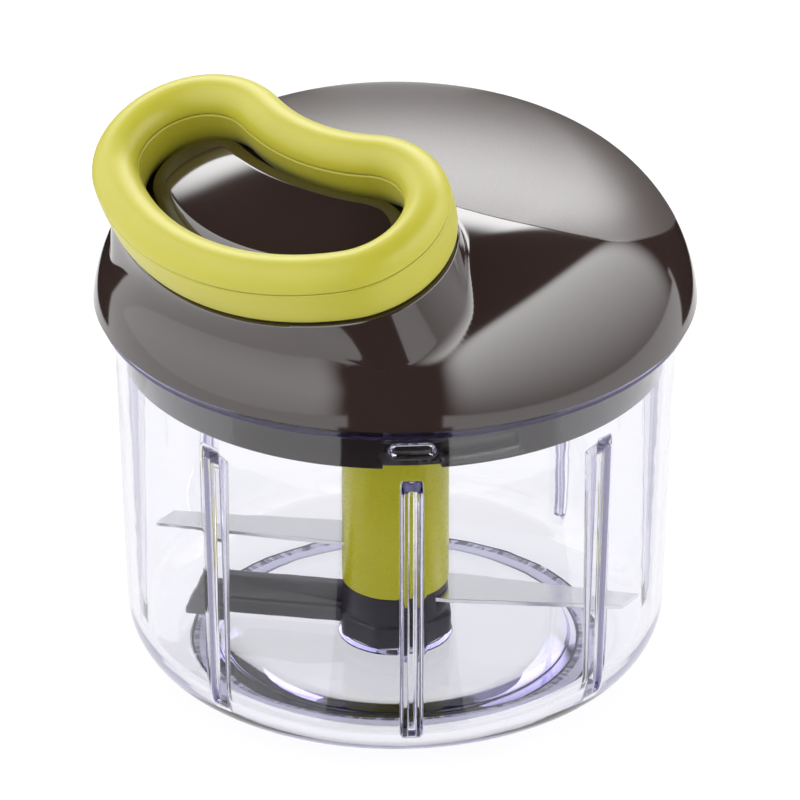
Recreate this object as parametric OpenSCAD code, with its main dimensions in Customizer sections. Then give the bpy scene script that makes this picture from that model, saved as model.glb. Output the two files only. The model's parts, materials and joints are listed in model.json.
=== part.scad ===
// Manual food chopper: a ring handle pulls a cord, which turns blades in a clear bowl.
// Z points up, the table is Z = 0, the turning axis is X = Y = 0 and the handle leans to -Y.

/* [Bowl] */
// Outer radius of the bowl wall just under the rim
bowl_r = 62; // [56:0.5:75]
// Height of the bowl's rim above the table
bowl_h = 87.5; // [80:0.5:110]
// How much narrower the wall is at the base
bowl_draft = 2.4; // [0.5:0.1:4]
// Thickness of the bowl wall
bowl_wall = 2.2; // [1.6:0.1:3]
// Thickness of the bowl floor
floor_t = 2.8; // [2.4:0.1:4]
// Outer radius of the rounded bottom corner
corner_r = 13.5; // [9:0.5:16]
// How far the rim stands out from the wall
rim_out = 3.2; // [2:0.1:4]
// Thickness of the rim
rim_t = 2; // [1.5:0.1:3]
// Radius of the raised disc in the floor
plateau_r = 38.7; // [30:0.1:42]
// Height of the raised disc
plateau_h = 0.6; // [0.3:0.1:1.5]

/* [Bowl ribs and lugs] */
// Number of hollow ribs round the wall
rib_count = 8; // [4:1:12]
// Width of a rib
rib_w = 4.3; // [3.6:0.1:6]
// Width of the groove that hollows a rib from outside
rib_groove_w = 1.6; // [1:0.1:2]
// How far a rib stands in from the foot of the wall
rib_in = 2; // [1:0.1:3]
// How far the ribs stop below the rim
rib_drop = 15; // [13:0.5:30]
// Width of a bayonet lug, along the wall
lug_w = 9.6; // [6:0.2:12]
// Height of a bayonet lug
lug_h = 2.7; // [2:0.1:3.5]
// How far the lug's underside sits below the rim
lug_drop = 8.5; // [7.5:0.1:9]
// How far a lug stands in from the wall
lug_in = 2; // [1.2:0.1:2.4]

/* [Foot ring and pivot] */
// Outer radius of the anti-slip ring
foot_r = 45.5; // [44:0.1:46]
// Width of the anti-slip ring
foot_w = 5; // [2.5:0.1:6]
// Thickness of the anti-slip ring
foot_t = 2; // [1.6:0.1:2.4]
// How far the anti-slip ring stands below the bowl
foot_out = 0.8; // [0.4:0.1:1.2]
// Radius of the steel pivot pin
pivot_r = 2.5; // [2:0.1:3.2]
// How far the pivot pin stands up from the raised disc
pivot_h = 17; // [14:0.5:19]
// Radius of the round pad under the hub
pad_r = 12.4; // [10:0.1:16]
// Height of the round pad under the hub
pad_h = 1; // [0.5:0.1:2]

/* [Shaft and blades] */
// Radius of the green shaft
shaft_r = 11.9; // [11:0.1:13]
// Radius of the hub's foot
hub_r = 12.95; // [12:0.05:15]
// Height of the hub's foot
hub_foot_h = 5.5; // [4:0.1:7]
// Height of the whole hub
hub_h = 12; // [11.5:0.1:15]
// How far the hub's spigot reaches up inside the shaft
spigot_h = 6.5; // [5:0.1:8]
// Thickness of the blades
blade_t = 1; // [0.6:0.1:1.4]
// Width of the upper blade at the shaft
upper_blade_w = 10; // [7:0.5:12]
// Width of the lower blade at the hub
lower_blade_w = 12; // [8:0.5:13]
// Width of a blade at its tip
blade_tip_w = 6; // [4:0.5:6.5]
// Height of the upper blade above the hub's top
upper_blade_z = 9.2; // [8.8:0.1:20]
// Room between the blade tips and the ribs
tip_gap = 1.2; // [0.6:0.1:4]
// Angle of the blades round the axis, from the handle side
blade_turn = -58; // [-180:1:180]
// Reach of the mixing paddle from the axis
paddle_r = 47; // [35:0.5:50]
// Height of the mixing paddle
paddle_h = 9; // [6:0.2:9.4]
// Thickness of the mixing paddle
paddle_t = 3.2; // [2:0.1:5]

/* [Lid] */
// Height of the dome above the bowl's rim
dome_h = 36.9; // [36:0.1:45]
// Radius of the dome's flat top curve
crown_r = 154; // [140:1:180]
// Radius of the dome's shoulder
shoulder_r = 36; // [32:0.5:37]
// How far the dome stands out past the bowl's rim
lid_over = 1.2; // [0.6:0.1:2]
// Wall thickness of the dome
lid_wall = 2.2; // [1.6:0.1:3]
// Gap between the dome's edge and the bowl's rim
lid_edge_gap = 0.5; // [0.3:0.1:1]
// Depth of the collar that drops into the bowl
collar_h = 11.7; // [11.2:0.1:13]
// Wall thickness of the collar
collar_wall = 4.4; // [4:0.1:5.5]
// Thickness of the plate that closes the lid below
base_t = 2.4; // [2:0.1:3]
// How far the lid turns from set down to locked, in degrees
lock_turn = 17; // [12:1:20]

/* [Drum and spring] */
// Radius of the drum where the cord winds
drum_r = 25; // [20:0.5:27]
// Radius of the drum's flanges
flange_r = 33; // [31.5:0.5:36]
// Thickness of a drum flange
flange_t = 2; // [1.5:0.1:2.4]
// Width between the drum's flanges
drum_w = 10.8; // [10.8:0.1:13]
// Turns of cord on the drum
cord_turns = 3; // [2:1:3]
// Diameter of the pull cord
cord_d = 2; // [1.4:0.1:2]
// Radius of the drum's axle
axle_r = 2.5; // [2:0.1:3]
// Height of the drive dogs
dog_h = 5; // [4:0.1:6]
// Angle that one drive dog covers, in degrees
dog_span = 28; // [20:1:36]
// Height of the spring band
spring_h = 7; // [5:0.1:8]
// Thickness of the spring band
spring_t = 0.5; // [0.3:0.05:0.7]
// Turns of the spring
spring_turns = 8; // [6:1:9]
// Inner radius of the spring cup
cup_r = 29; // [26:0.5:30]
// Wall thickness of the spring cup
cup_wall = 2; // [1.5:0.1:2.4]

/* [Handle] */
// How far the ring's middle lies inside the lid's edge
handle_in = 27.5; // [26:0.1:29]
// How far the ring's parting line lies above the dome's top, at the ring's middle
handle_rise = 4.9; // [4.5:0.1:8]
// How far the ring leans outwards, in degrees
handle_tilt = 22.5; // [20:0.5:24]
// Half the distance between the ring's two round ends
lobe_x = 22.5; // [20:0.1:26]
// Radius of a round end, at the middle of the grip
lobe_r = 17.5; // [17:0.1:19]
// How far the round ends lie in front of the ring's middle
lobe_out = 1.5; // [0.5:0.1:2]
// How far the ring's long side bows out from its middle
ring_front = 26.3; // [25:0.1:27]
// How far the dented side lies behind its middle
ring_back = 12; // [10:0.1:13]
// Half the grip's thickness
grip_r = 5.4; // [5.2:0.1:6]
// Depth of the grip below its parting line
grip_depth = 10.5; // [9:0.1:11]
// Wall thickness of the handle shells
grip_wall = 2; // [1.6:0.1:2.2]
// How far the seat under the ring reaches out past the middle of the grip
seat_out = 4; // [2.5:0.1:4.6]
// Height of the crowned island inside the ring, above its seat
island_h = 4.2; // [3.5:0.1:5]

/* [Screws] */
// Radius of a lid screw's thread
screw_r = 1.5; // [1.2:0.1:1.8]
// Radius of a lid screw's head
screw_head_r = 2.8; // [2.4:0.1:3.2]
// Radius of a handle screw's thread
grip_screw_r = 0.9; // [0.7:0.1:1]
// Radius of a handle screw's head
grip_screw_head_r = 1.6; // [1.4:0.1:1.7]

/* [Hidden] */
$fn = 96;
run_gap = 0.05; // radial gap of a turning shaft in its bore
seat_gap = 0.02; // radial gap of a fixed pin in its hole
fit_gap = 0.35; // gap between pieces that move past each other

// Heights of the bowl and of what stands in it
floor_z = foot_out + floor_t;
plateau_z = floor_z + plateau_h;
pad_z = plateau_z + pad_h;
hub_z = pad_z + 0.3;
hub_top = hub_z + hub_h;
corner_z = foot_out + corner_r;
base_r = bowl_r - bowl_draft;
inner_corner_r = corner_r - bowl_wall;
inner_corner_z = floor_z + inner_corner_r;
flat_r = base_r - corner_r;
rim_r = bowl_r + rim_out;
rim_z = bowl_h - rim_t;

// Radius of the wall's inner face at height z
function wall_in(z) =
    base_r - bowl_wall + bowl_draft * (z - inner_corner_z) / (bowl_h - inner_corner_z);

// Ribs, lugs and blades
rib_face = base_r - bowl_wall - rib_in;
rib_top = bowl_h - rib_drop;
rib_slope = 3.5;
rib_skin = 1.6;
rib_root = 0.5;
rib_foot = inner_corner_z - rib_root
    - sqrt(pow(inner_corner_r, 2) - pow(rib_face - flat_r, 2));
lug_count = 4;
lug_z = bowl_h - lug_drop;
lug_start = 45;
blade_r = rib_face - tip_gap;
blade_tip_y = sqrt(pow(blade_r, 2) - pow(blade_tip_w / 2, 2));
pin_z = foot_out + 1;
pin_top = plateau_z + pivot_h;
bush_r = 2 * pivot_r + 0.2;
bush_cap = 2;
bush_z = hub_z + 3;
bush_top = pin_top + bush_cap;
root_r = bush_r + 1.6;
lower_blade_z = hub_top - 2.5;
upper_blade_at = hub_top + upper_blade_z;
spigot_r = shaft_r - 2.7;
shaft_core_r = shaft_r - 4.4;
web_top = upper_blade_at + blade_t + 4;
paddle_ridge = 1.6;
paddle_z = hub_z + fit_gap;

// Lid
collar_z = bowl_h - collar_h;
collar_r = wall_in(collar_z) - fit_gap;
collar_in = collar_r - collar_wall;
chamber_z = collar_z + base_t;
lid_r = rim_r + lid_over;
dome_top = bowl_h + dome_h;
edge_z = bowl_h + lid_edge_gap;
crown_z = dome_top - crown_r;
shoulder_x = lid_r - shoulder_r;
shoulder_z = crown_z + sqrt(pow(crown_r - shoulder_r, 2) - pow(shoulder_x, 2));
crown_lean = atan2(shoulder_x, shoulder_z - crown_z);
base_flange_t = 2;
base_flange_r = lid_r - lid_wall - 0.6;
screw_l = 12;
screw_spare = 2;
screw_sink = 1.4;
lug_reach = wall_in(lug_z) - lug_in;
lug_deg = lug_w / lug_reach * 180 / PI;
channel_r = lug_reach - fit_gap;
mouth_w = lug_w + 3;
mouth_deg = mouth_w / collar_r * 180 / PI;
boss_r = 2 * screw_r + 0.8;
boss_at = collar_in - boss_r - 2;
boss_turns = [75, 140, 220, 285];

// Drive, drum and spring, from the shaft upwards
shaft_top = collar_z + 5;
throat_r = shaft_r + 1.3;
dog_out = shaft_r - 2.1;
dog_in = dog_out - 3.3;
dog_play = 0.6;
dog_count = 3;
dog_seat_h = 4;
drum_z = shaft_top + dog_h + dog_play;
throat_top = drum_z - 2;
drum_wall = 2;
socket_t = 3;
socket_r = dog_out + 2;
wind_z = drum_z + flange_t;
drum_top = wind_z + drum_w + flange_t;
cup_z = drum_top + 0.5;
cup_room = spring_h + 1;
cup_top = cup_z + cup_room + cup_wall;
arbor_r = 7;
spring_z = cup_z + 0.5;
spring_end_gap = 0.15;
spring_steps = 24;
spring_in = arbor_r + spring_end_gap;
spring_out = cup_r - spring_t - spring_end_gap;
ear_t = 2;
ear_w = 9;
post_r = 4;
post_at = collar_in - post_r - 6.5;
post_turns = [90, 180, 270];
axle_head_r = 5;
axle_head_t = 1.5;
washer_r = 5.2;
washer_t = 0.8;
washer_z = drum_z + socket_t - washer_t;
clip_r = washer_r - 0.8;
clip_t = 0.8;
axle_end = washer_z - clip_t - 0.8;

// Handle ring: two round ends, a long bow in front and a shallow dent behind, all tangent
handle_out = lid_r - handle_in;
handle_z = dome_top + handle_rise;
bow_rest = ring_front - lobe_r;
bow_c = -(pow(bow_rest, 2) - pow(lobe_x, 2) - pow(lobe_out, 2)) / (2 * (bow_rest - lobe_out));
bow_r = ring_front + bow_c;
dent_r = (pow(lobe_x, 2) + pow(lobe_out + ring_back, 2) - pow(lobe_r, 2))
    / (2 * (lobe_r - lobe_out - ring_back));
dent_c = ring_back + dent_r;
bow_half = atan2(lobe_x, lobe_out + bow_c);
dent_half = atan2(lobe_x, lobe_out + dent_c);
lobe_steps = 14;
dent_steps = 5;
bow_steps = 7;
seat_h = -grip_depth;
seat_t = 2.4;
neck_l = 16;
island_in = grip_r + 1;
island_ball = 170;
grip_foot = 1.8;
grip_boss_r = grip_screw_head_r + 0.8;
grip_screw_at = [-20, 75];
grip_screw_bite = 3;
grip_screw_rise = 5;
grip_screw_seat = grip_screw_rise - grip_depth;
grip_head_t = 1.2;

// Cord: it leaves the drum at a tangent, bends up through the eyelet and ends in the grip
cord_r = cord_d / 2;
wind_r = drum_r + cord_r + 0.25;
wind_pitch = cord_d + 0.45;
exit_z = wind_z + drum_w - cord_r - 0.7;
exit_h = (exit_z - handle_z + ring_front * sin(handle_tilt)) / cos(handle_tilt);
eyelet_bore = cord_r + 0.4;
eyelet_r = eyelet_bore + 0.9;
lip_r = 1.6;
lip_at = eyelet_bore + lip_r;
knot_r = 2.2;
knot_h = grip_wall - grip_depth;

// A point of the handle's own frame in the whole part's frame
function in_handle(p) = [
    p[0],
    p[1] * cos(handle_tilt) - p[2] * sin(handle_tilt) - handle_out,
    p[1] * sin(handle_tilt) + p[2] * cos(handle_tilt) + handle_z
];

pull_dir = [0, -sin(handle_tilt), cos(handle_tilt)];
corner_pt = in_handle([0, -ring_front, exit_h]);
leave_a = acos(wind_r / -corner_pt[1]);
leave_pt = [-wind_r * sin(leave_a), -wind_r * cos(leave_a), exit_z];
leave_dir = [cos(leave_a), -sin(leave_a), 0];
leave_deg = atan2(leave_pt[1], leave_pt[0]);

// The bend round the eyelet's lip is an arc between the cord's two legs
bend_open = acos(-leave_dir * pull_dir);
bend_leg = lip_at / tan(bend_open / 2);
bend_turn = 180 - bend_open;
bend_mid = corner_pt + (pull_dir - leave_dir) * bend_leg / (1 + cos(bend_open));
bend_from = corner_pt - leave_dir * bend_leg - bend_mid;
bend_to = corner_pt + pull_dir * bend_leg - bend_mid;
bend_steps = 8;
lip_h = exit_h + bend_leg;
cord_path = concat(
    [leave_pt + leave_dir * cord_d],
    [
        for (i = [0 : bend_steps])
            let (a = bend_turn * i / bend_steps)
            bend_mid + (bend_from * sin(bend_turn - a) + bend_to * sin(a)) / sin(bend_turn)
    ],
    [in_handle([0, -ring_front, knot_h])]
);

// Cord on the drum: whole turns of 24 steps, with a straight piece at each end
wind_steps = 24 * cord_turns;
wind_coil = [
    for (i = [0 : wind_steps])
        let (a = leave_deg + (i - wind_steps) * 15)
        [wind_r * cos(a), wind_r * sin(a), exit_z + (i - wind_steps) * wind_pitch / 24]
];
wind_path = concat(
    [wind_coil[0] - leave_dir * cord_d],
    wind_coil,
    [leave_pt + leave_dir * cord_d]
);

// Shared shapes

// Puts its children in the handle's own frame
module at_handle() {
    translate([0, -handle_out, handle_z])
        rotate([handle_tilt, 0, 0])
            children();
}

// A ring-shaped step between two heights
module tube(r_out, r_in, z0, z1) {
    rotate_extrude()
        translate([r_in, z0])
            square([r_out - r_in, z1 - z0]);
}

// A cylinder between two heights
module cylinder_between(r, z0, z1) {
    translate([0, 0, z0])
        cylinder(r = r, h = z1 - z0);
}

// Part of a ring, centred on the handle side
module arc_block(r_out, r_in, z0, z1, span) {
    rotate(-90 - span / 2)
        rotate_extrude(angle = span)
            translate([r_in, z0])
                square([r_out - r_in, z1 - z0]);
}

// Copies its children round the axis, the first one a degrees from the handle side
module around(count, a) {
    for (i = [0 : count - 1])
        rotate(a + i * 360 / count)
            children();
}

// A flat plate that stands on the handle-side radius, drawn as radius and height
module radial_plate(width) {
    rotate([90, 0, -90])
        linear_extrude(width, center = true)
            children();
}

// A screw that points up, with its head's upper face at z = 0
module screw(r, head_r, head_t, length) {
    translate([0, 0, -head_t])
        cylinder(r = head_r, h = head_t);
    cylinder(r = r, h = length);
}

// Stations on an arc, each a point and its outward direction
function arc_stations(c, r, a0, a1, count, out) = [
    for (i = [0 : count - 1])
        let (
            a = a0 + (a1 - a0) * i / count,
            d = [cos(a), sin(a)]
        )
        [c + r * d, out * d]
];

// Stations all the way round the handle ring
ring_line = concat(
    arc_stations([lobe_x, -lobe_out], lobe_r, bow_half - 90, 90 + dent_half, lobe_steps, 1),
    arc_stations([0, dent_c], dent_r, dent_half - 90, -90 - dent_half, dent_steps, -1),
    arc_stations([-lobe_x, -lobe_out], lobe_r, 90 - dent_half, 270 - bow_half, lobe_steps, 1),
    arc_stations([0, bow_c], bow_r, -90 - bow_half, bow_half - 90, bow_steps, 1)
);

// The area inside the ring's line, grown by off
module ring_area(off) {
    polygon([for (s = ring_line) s[0] + off * s[1]]);
}

// Sweeps a closed cross-section, points of distance from the ring's line and height
module ring_sweep(section) {
    n = len(ring_line);
    m = len(section);
    points = [
        for (s = ring_line, p = section)
            let (q = s[0] + p[0] * s[1])
            [q[0], q[1], p[1]]
    ];
    faces = [
        for (i = [0 : n - 1], j = [0 : m - 1])
            let (
                a = i * m + j,
                b = i * m + (j + 1) % m,
                c = (i + 1) % n * m + (j + 1) % m,
                d = (i + 1) % n * m + j
            )
            each [[a, b, c], [a, c, d]]
    ];
    polyhedron(points = points, faces = faces);
}

// Points of a tube's rim around p, square to direction d, with ref to steady the turn
function rim_points(p, d, ref, r, sides) =
    let (
        u = cross(d, ref) / norm(cross(d, ref)),
        v = cross(d, u)
    )
    [for (i = [0 : sides - 1]) p + r * (u * cos(i * 360 / sides) + v * sin(i * 360 / sides))];

// Direction of a path at its point i
function path_dir(path, i) =
    let (
        a = path[max(i - 1, 0)],
        b = path[min(i + 1, len(path) - 1)]
    )
    (b - a) / norm(b - a);

// One closed tube along a path
module path_tube(path, ref, r, sides) {
    n = len(path);
    last = (n - 1) * sides;
    points = [for (i = [0 : n - 1]) each rim_points(path[i], path_dir(path, i), ref, r, sides)];
    walls = [
        for (i = [0 : n - 2], j = [0 : sides - 1])
            let (
                a = i * sides + j,
                b = i * sides + (j + 1) % sides
            )
            each [[a, b, b + sides], [a, b + sides, a + sides]]
    ];
    caps = [for (j = [1 : sides - 2]) each [[0, j + 1, j], [last, last + j, last + j + 1]]];
    polyhedron(points = points, faces = concat(walls, caps));
}

// Bowl

module bowl_outside() {
    translate([0, foot_out])
        square([flat_r, corner_r]);
    translate([flat_r, corner_z])
        circle(corner_r);
    polygon([[0, corner_z], [base_r, corner_z], [bowl_r, rim_z], [bowl_r, bowl_h], [0, bowl_h]]);
    translate([bowl_r - bowl_wall / 2, rim_z])
        square([rim_out + bowl_wall / 2, rim_t]);
}

module bowl_inside() {
    translate([0, floor_z])
        square([flat_r, inner_corner_r]);
    translate([flat_r, inner_corner_z])
        circle(inner_corner_r);
    polygon([
        [0, inner_corner_z],
        [wall_in(inner_corner_z), inner_corner_z],
        [wall_in(bowl_h + 1), bowl_h + 1],
        [0, bowl_h + 1]
    ]);
}

// A rib's side view: it starts in the rounded corner and has a sloped top
module rib_body() {
    polygon([
        [rib_face, rib_foot],
        [rib_face, rib_top - rib_slope],
        [wall_in(rib_top) - rib_slope / 4, rib_top],
        [wall_in(rib_top) + bowl_wall / 2, rib_top],
        [wall_in(inner_corner_z) + bowl_wall / 2, inner_corner_z],
        [rib_face + bowl_wall / 2, rib_foot]
    ]);
}

// The groove that hollows a rib from outside
module rib_hollow() {
    past = bowl_r + 1;
    polygon([
        [rib_face + rib_skin, rib_foot + rib_skin],
        [rib_face + rib_skin, rib_top - rib_slope - rib_skin],
        [wall_in(rib_top), rib_top - rib_skin],
        [past, rib_top - rib_skin],
        [past, rib_foot + rib_skin]
    ]);
}

module bowl() {
    color([0.86, 0.86, 0.93, 0.5])
    difference() {
        union() {
            rotate_extrude()
                difference() {
                    bowl_outside();
                    bowl_inside();
                }
            cylinder_between(plateau_r, floor_z - floor_t / 4, plateau_z);
            cylinder_between(pad_r, floor_z - floor_t / 4, pad_z);
            around(rib_count, 0)
                radial_plate(rib_w)
                    rib_body();
            around(lug_count, lug_start)
                arc_block(wall_in(lug_z) + bowl_wall / 2, lug_reach, lug_z, lug_z + lug_h, lug_deg);
        }
        around(rib_count, 0)
            radial_plate(rib_groove_w)
                rib_hollow();
        tube(foot_r + seat_gap, foot_r - foot_w - seat_gap, 0, foot_t);
        cylinder_between(pivot_r + seat_gap, pin_z, pin_top);
    }
}

module anti_slip_ring() {
    color("gainsboro")
        tube(foot_r, foot_r - foot_w, 0, foot_t);
}

module pivot_pin() {
    tip = pivot_r / 3;
    color("silver")
        rotate_extrude()
            polygon([
                [0, pin_z],
                [pivot_r, pin_z],
                [pivot_r, pin_top - tip],
                [pivot_r - tip, pin_top],
                [0, pin_top]
            ]);
}

// Shaft and blades

module blade_shaft() {
    color("yellowgreen")
    difference() {
        cylinder_between(shaft_r, hub_top, shaft_top);
        cylinder_between(spigot_r + seat_gap, hub_top - 1, hub_top + spigot_h + fit_gap);
        cylinder_between(shaft_core_r, web_top, shaft_top + 1);
        cylinder_between(dog_out + seat_gap, shaft_top - dog_seat_h, shaft_top + 1);
        rotate(blade_turn)
            blade_slot(upper_blade_at, upper_blade_w);
    }
}

// Room for a blade's root, on the handle side
module blade_slot(z, w) {
    translate([-w / 2 - seat_gap, -hub_r - 1, z])
        cube([w + 2 * seat_gap, hub_r + 1 - root_r + seat_gap, blade_t]);
}

// A flat blade on the handle side, ground along its leading edge, with a slanted tip
module blade(w) {
    difference() {
        linear_extrude(blade_t)
            polygon([
                [-w / 2, -root_r],
                [w / 2, -root_r],
                [w / 2, -hub_r - 1],
                [blade_tip_w / 2, -blade_tip_y],
                [-blade_tip_w / 2, -blade_tip_y + blade_tip_w / 2],
                [-w / 2, -hub_r - 1]
            ]);
        ground_edge(w);
    }
}

// The wedge that a grinder takes off a blade's upper face
module ground_edge(w) {
    grind = blade_t * 2.5;
    run = blade_tip_y - hub_r - 1;
    lean = atan2((w - blade_tip_w) / 2, run);
    translate([w / 2, -hub_r - 1, blade_t * 0.15])
        rotate(-lean)
            rotate([0, atan2(blade_t, grind), 0])
                translate([-grind * 1.2, -2 * run, 0])
                    cube([grind * 3, 2 * run, blade_t * 3]);
}

module upper_blade() {
    color("lightsteelblue")
        rotate(blade_turn)
            translate([0, 0, upper_blade_at])
                blade(upper_blade_w);
}

module lower_blade() {
    color("lightsteelblue")
        rotate(blade_turn + 180)
            translate([0, 0, lower_blade_z])
                blade(lower_blade_w);
}

// An upright paddle with a hooked end and a ridge along its middle
module paddle() {
    translate([0, 0, paddle_z])
        linear_extrude(paddle_h)
            polygon([
                [-paddle_t / 2, -bush_r],
                [paddle_t / 2, -bush_r],
                [paddle_t / 2, paddle_t - paddle_r],
                [paddle_t * 1.6, -paddle_r],
                [-paddle_t / 2, -paddle_r]
            ]);
    ridge_w = paddle_t + 2 * paddle_ridge;
    ridge_z = paddle_z + (paddle_h - paddle_ridge) / 2;
    translate([-ridge_w / 2, 2 * paddle_t - paddle_r, ridge_z])
        cube([ridge_w, paddle_r - 2 * paddle_t - shaft_r + 1, paddle_ridge]);
}

module paddle_hub() {
    color("dimgray")
    difference() {
        union() {
            cylinder_between(hub_r, hub_z, hub_z + hub_foot_h);
            cylinder_between(shaft_r - fit_gap / 2, hub_z, hub_top);
            cylinder_between(spigot_r, hub_z, hub_top + spigot_h);
            rotate(blade_turn)
                paddle();
        }
        cylinder_between(bush_r + seat_gap, bush_z, hub_top + spigot_h + 1);
        cylinder_between(bush_r - 1, hub_z - 1, hub_top);
        rotate(blade_turn + 180)
            blade_slot(lower_blade_z, lower_blade_w);
    }
}

module pivot_bush() {
    color("burlywood")
        rotate_extrude()
            difference() {
                translate([0, bush_z])
                    square([bush_r, bush_top - bush_z]);
                translate([0, bush_z - 1])
                    square([pivot_r + run_gap, bush_top - bush_cap - bush_z + 1]);
            }
}

module dogs(z, h) {
    around(dog_count, 0)
        arc_block(dog_out, dog_in, z, z + h, dog_span);
}

module drive_dog() {
    color("dimgray")
    union() {
        tube(dog_out, shaft_core_r / 2, shaft_top - dog_seat_h, shaft_top);
        dogs(shaft_top - 1, dog_h + 1);
    }
}

// Lid

// Half the dome's outline, drawn inset from its outer face: a shoulder, then a flatter crown
module dome_area(inset) {
    shoulder_steps = 14;
    crown_steps = 8;
    r = shoulder_r - inset;
    a0 = asin((edge_z - shoulder_z) / r);
    a1 = 90 - crown_lean;
    shoulder = [
        for (i = [0 : shoulder_steps])
            let (a = a0 + (a1 - a0) * i / shoulder_steps)
            [shoulder_x + r * cos(a), shoulder_z + r * sin(a)]
    ];
    crown = [
        for (i = [1 : crown_steps])
            let (a = crown_lean * (1 - i / crown_steps))
            [(crown_r - inset) * sin(a), crown_z + (crown_r - inset) * cos(a)]
    ];
    polygon(concat([[0, edge_z]], shoulder, crown));
}

// The dome, the seat under the ring and the crowned island inside the ring
module lid_outside() {
    rotate_extrude()
        dome_area(0);
    at_handle() {
        translate([0, 0, seat_h - neck_l])
            linear_extrude(neck_l)
                ring_area(seat_out);
        intersection() {
            translate([0, 0, seat_h - seat_t / 2])
                linear_extrude(island_h + seat_t)
                    ring_area(-island_in);
            translate([0, -lobe_out, seat_h + island_h - island_ball])
                sphere(island_ball);
        }
    }
}

module lid_hollow() {
    rotate_extrude()
        dome_area(lid_wall);
    at_handle()
        translate([0, 0, seat_h - seat_t - neck_l])
            linear_extrude(neck_l)
                ring_area(seat_out - lid_wall);
}

module at_bosses() {
    for (a = boss_turns)
        rotate(a)
            translate([0, -boss_at, 0])
                children();
}

module at_posts() {
    for (a = post_turns)
        rotate(a)
            translate([0, -post_at, 0])
                children();
}

module lid_shell() {
    color("#3a2f2c")
    difference() {
        union() {
            difference() {
                lid_outside();
                lid_hollow();
            }
            intersection() {
                rotate_extrude()
                    dome_area(lid_wall / 2);
                at_bosses()
                    cylinder(r = boss_r, h = 2 * dome_top);
            }
            at_bosses()
                cylinder_between(boss_r, chamber_z, edge_z + 1);
        }
        at_bosses()
            cylinder_between(screw_r + seat_gap, chamber_z - 1, chamber_z + screw_l);
        at_handle()
            translate([0, -ring_front, lip_h])
                cylinder(r = eyelet_r + seat_gap, h = seat_h - lip_h + 1);
    }
}

// A bayonet channel: an open mouth, then a track to the locked end
module bayonet_channel() {
    past = collar_r + 1;
    top = lug_z + lug_h + fit_gap;
    low = lug_z - fit_gap;
    track = mouth_deg / 2 + lock_turn;
    arc_block(past, channel_r, collar_z - 1, top, mouth_deg);
    rotate(track / 2)
        arc_block(past, channel_r, low, top, track);
}

module lid_base() {
    color("#4a4442")
    difference() {
        union() {
            tube(collar_r, collar_in, collar_z, bowl_h + base_flange_t);
            tube(collar_r, throat_r, collar_z, chamber_z);
            tube(throat_r + base_t, throat_r, collar_z, throat_top);
            tube(base_flange_r, collar_in, bowl_h, bowl_h + base_flange_t);
            at_posts()
                cylinder_between(post_r, chamber_z - base_t / 2, cup_z);
        }
        around(lug_count, lug_start)
            bayonet_channel();
        at_bosses() {
            cylinder_between(screw_head_r + fit_gap, collar_z - 1, collar_z + screw_sink);
            cylinder_between(screw_r + fit_gap, collar_z - 1, chamber_z + 1);
        }
        at_posts()
            cylinder_between(screw_r + seat_gap, cup_z - screw_l, cup_z + 1);
    }
}

module lid_screws() {
    color("silver")
        at_bosses()
            translate([0, 0, collar_z + screw_sink])
                screw(screw_r, screw_head_r, screw_sink, screw_l - screw_spare);
}

module cord_eyelet() {
    color("silver")
        at_handle()
            translate([0, -ring_front, 0])
                rotate_extrude() {
                    translate([eyelet_bore, lip_h])
                        square([eyelet_r - eyelet_bore, seat_h - lip_h]);
                    translate([lip_at, lip_h])
                        circle(lip_r);
                }
}

module spring_cup() {
    color("lightgray")
    difference() {
        union() {
            tube(cup_r + cup_wall, cup_r, cup_z, cup_top);
            tube(cup_r + cup_wall, axle_r + run_gap, cup_top - cup_wall, cup_top);
            at_posts() {
                cylinder_between(ear_w / 2, cup_z, cup_z + ear_t);
                translate([-ear_w / 2, 0, cup_z])
                    cube([ear_w, post_at - cup_r - cup_wall / 2, ear_t]);
            }
        }
        at_posts()
            cylinder_between(screw_r + fit_gap, cup_z - 1, cup_z + ear_t + 1);
    }
}

module cup_screws() {
    color("silver")
        at_posts()
            translate([0, 0, cup_z + ear_t])
                mirror([0, 0, 1])
                    screw(screw_r, screw_head_r, screw_sink, screw_l - screw_spare);
}

// A flat spiral band from the arbor out to the cup
function spiral(r_shift) = [
    for (i = [0 : spring_turns * spring_steps])
        let (
            a = i * 360 / spring_steps,
            r = spring_in + (spring_out - spring_in) * i / (spring_turns * spring_steps) + r_shift
        )
        r * [cos(a), sin(a)]
];

module recoil_spring() {
    inner = spiral(0);
    outer = spiral(spring_t);
    last = len(outer) - 1;
    color("steelblue")
        translate([0, 0, spring_z])
            linear_extrude(spring_h)
                polygon(concat(inner, [for (i = [0 : last]) outer[last - i]]));
}

module pull_cord() {
    color("whitesmoke")
        path_tube(cord_path, [1, 0, 0], cord_r, 8);
}

// Axle

module drum_axle() {
    color("silver")
    union() {
        cylinder_between(axle_r, axle_end, cup_top + axle_head_t);
        cylinder_between(axle_head_r, cup_top, cup_top + axle_head_t);
    }
}

module axle_washer() {
    color("silver")
        tube(washer_r, axle_r + seat_gap, washer_z, washer_z + washer_t);
}

module axle_clip() {
    color("dimgray")
        tube(clip_r, axle_r + seat_gap, washer_z - clip_t, washer_z);
}

// Drum

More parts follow.
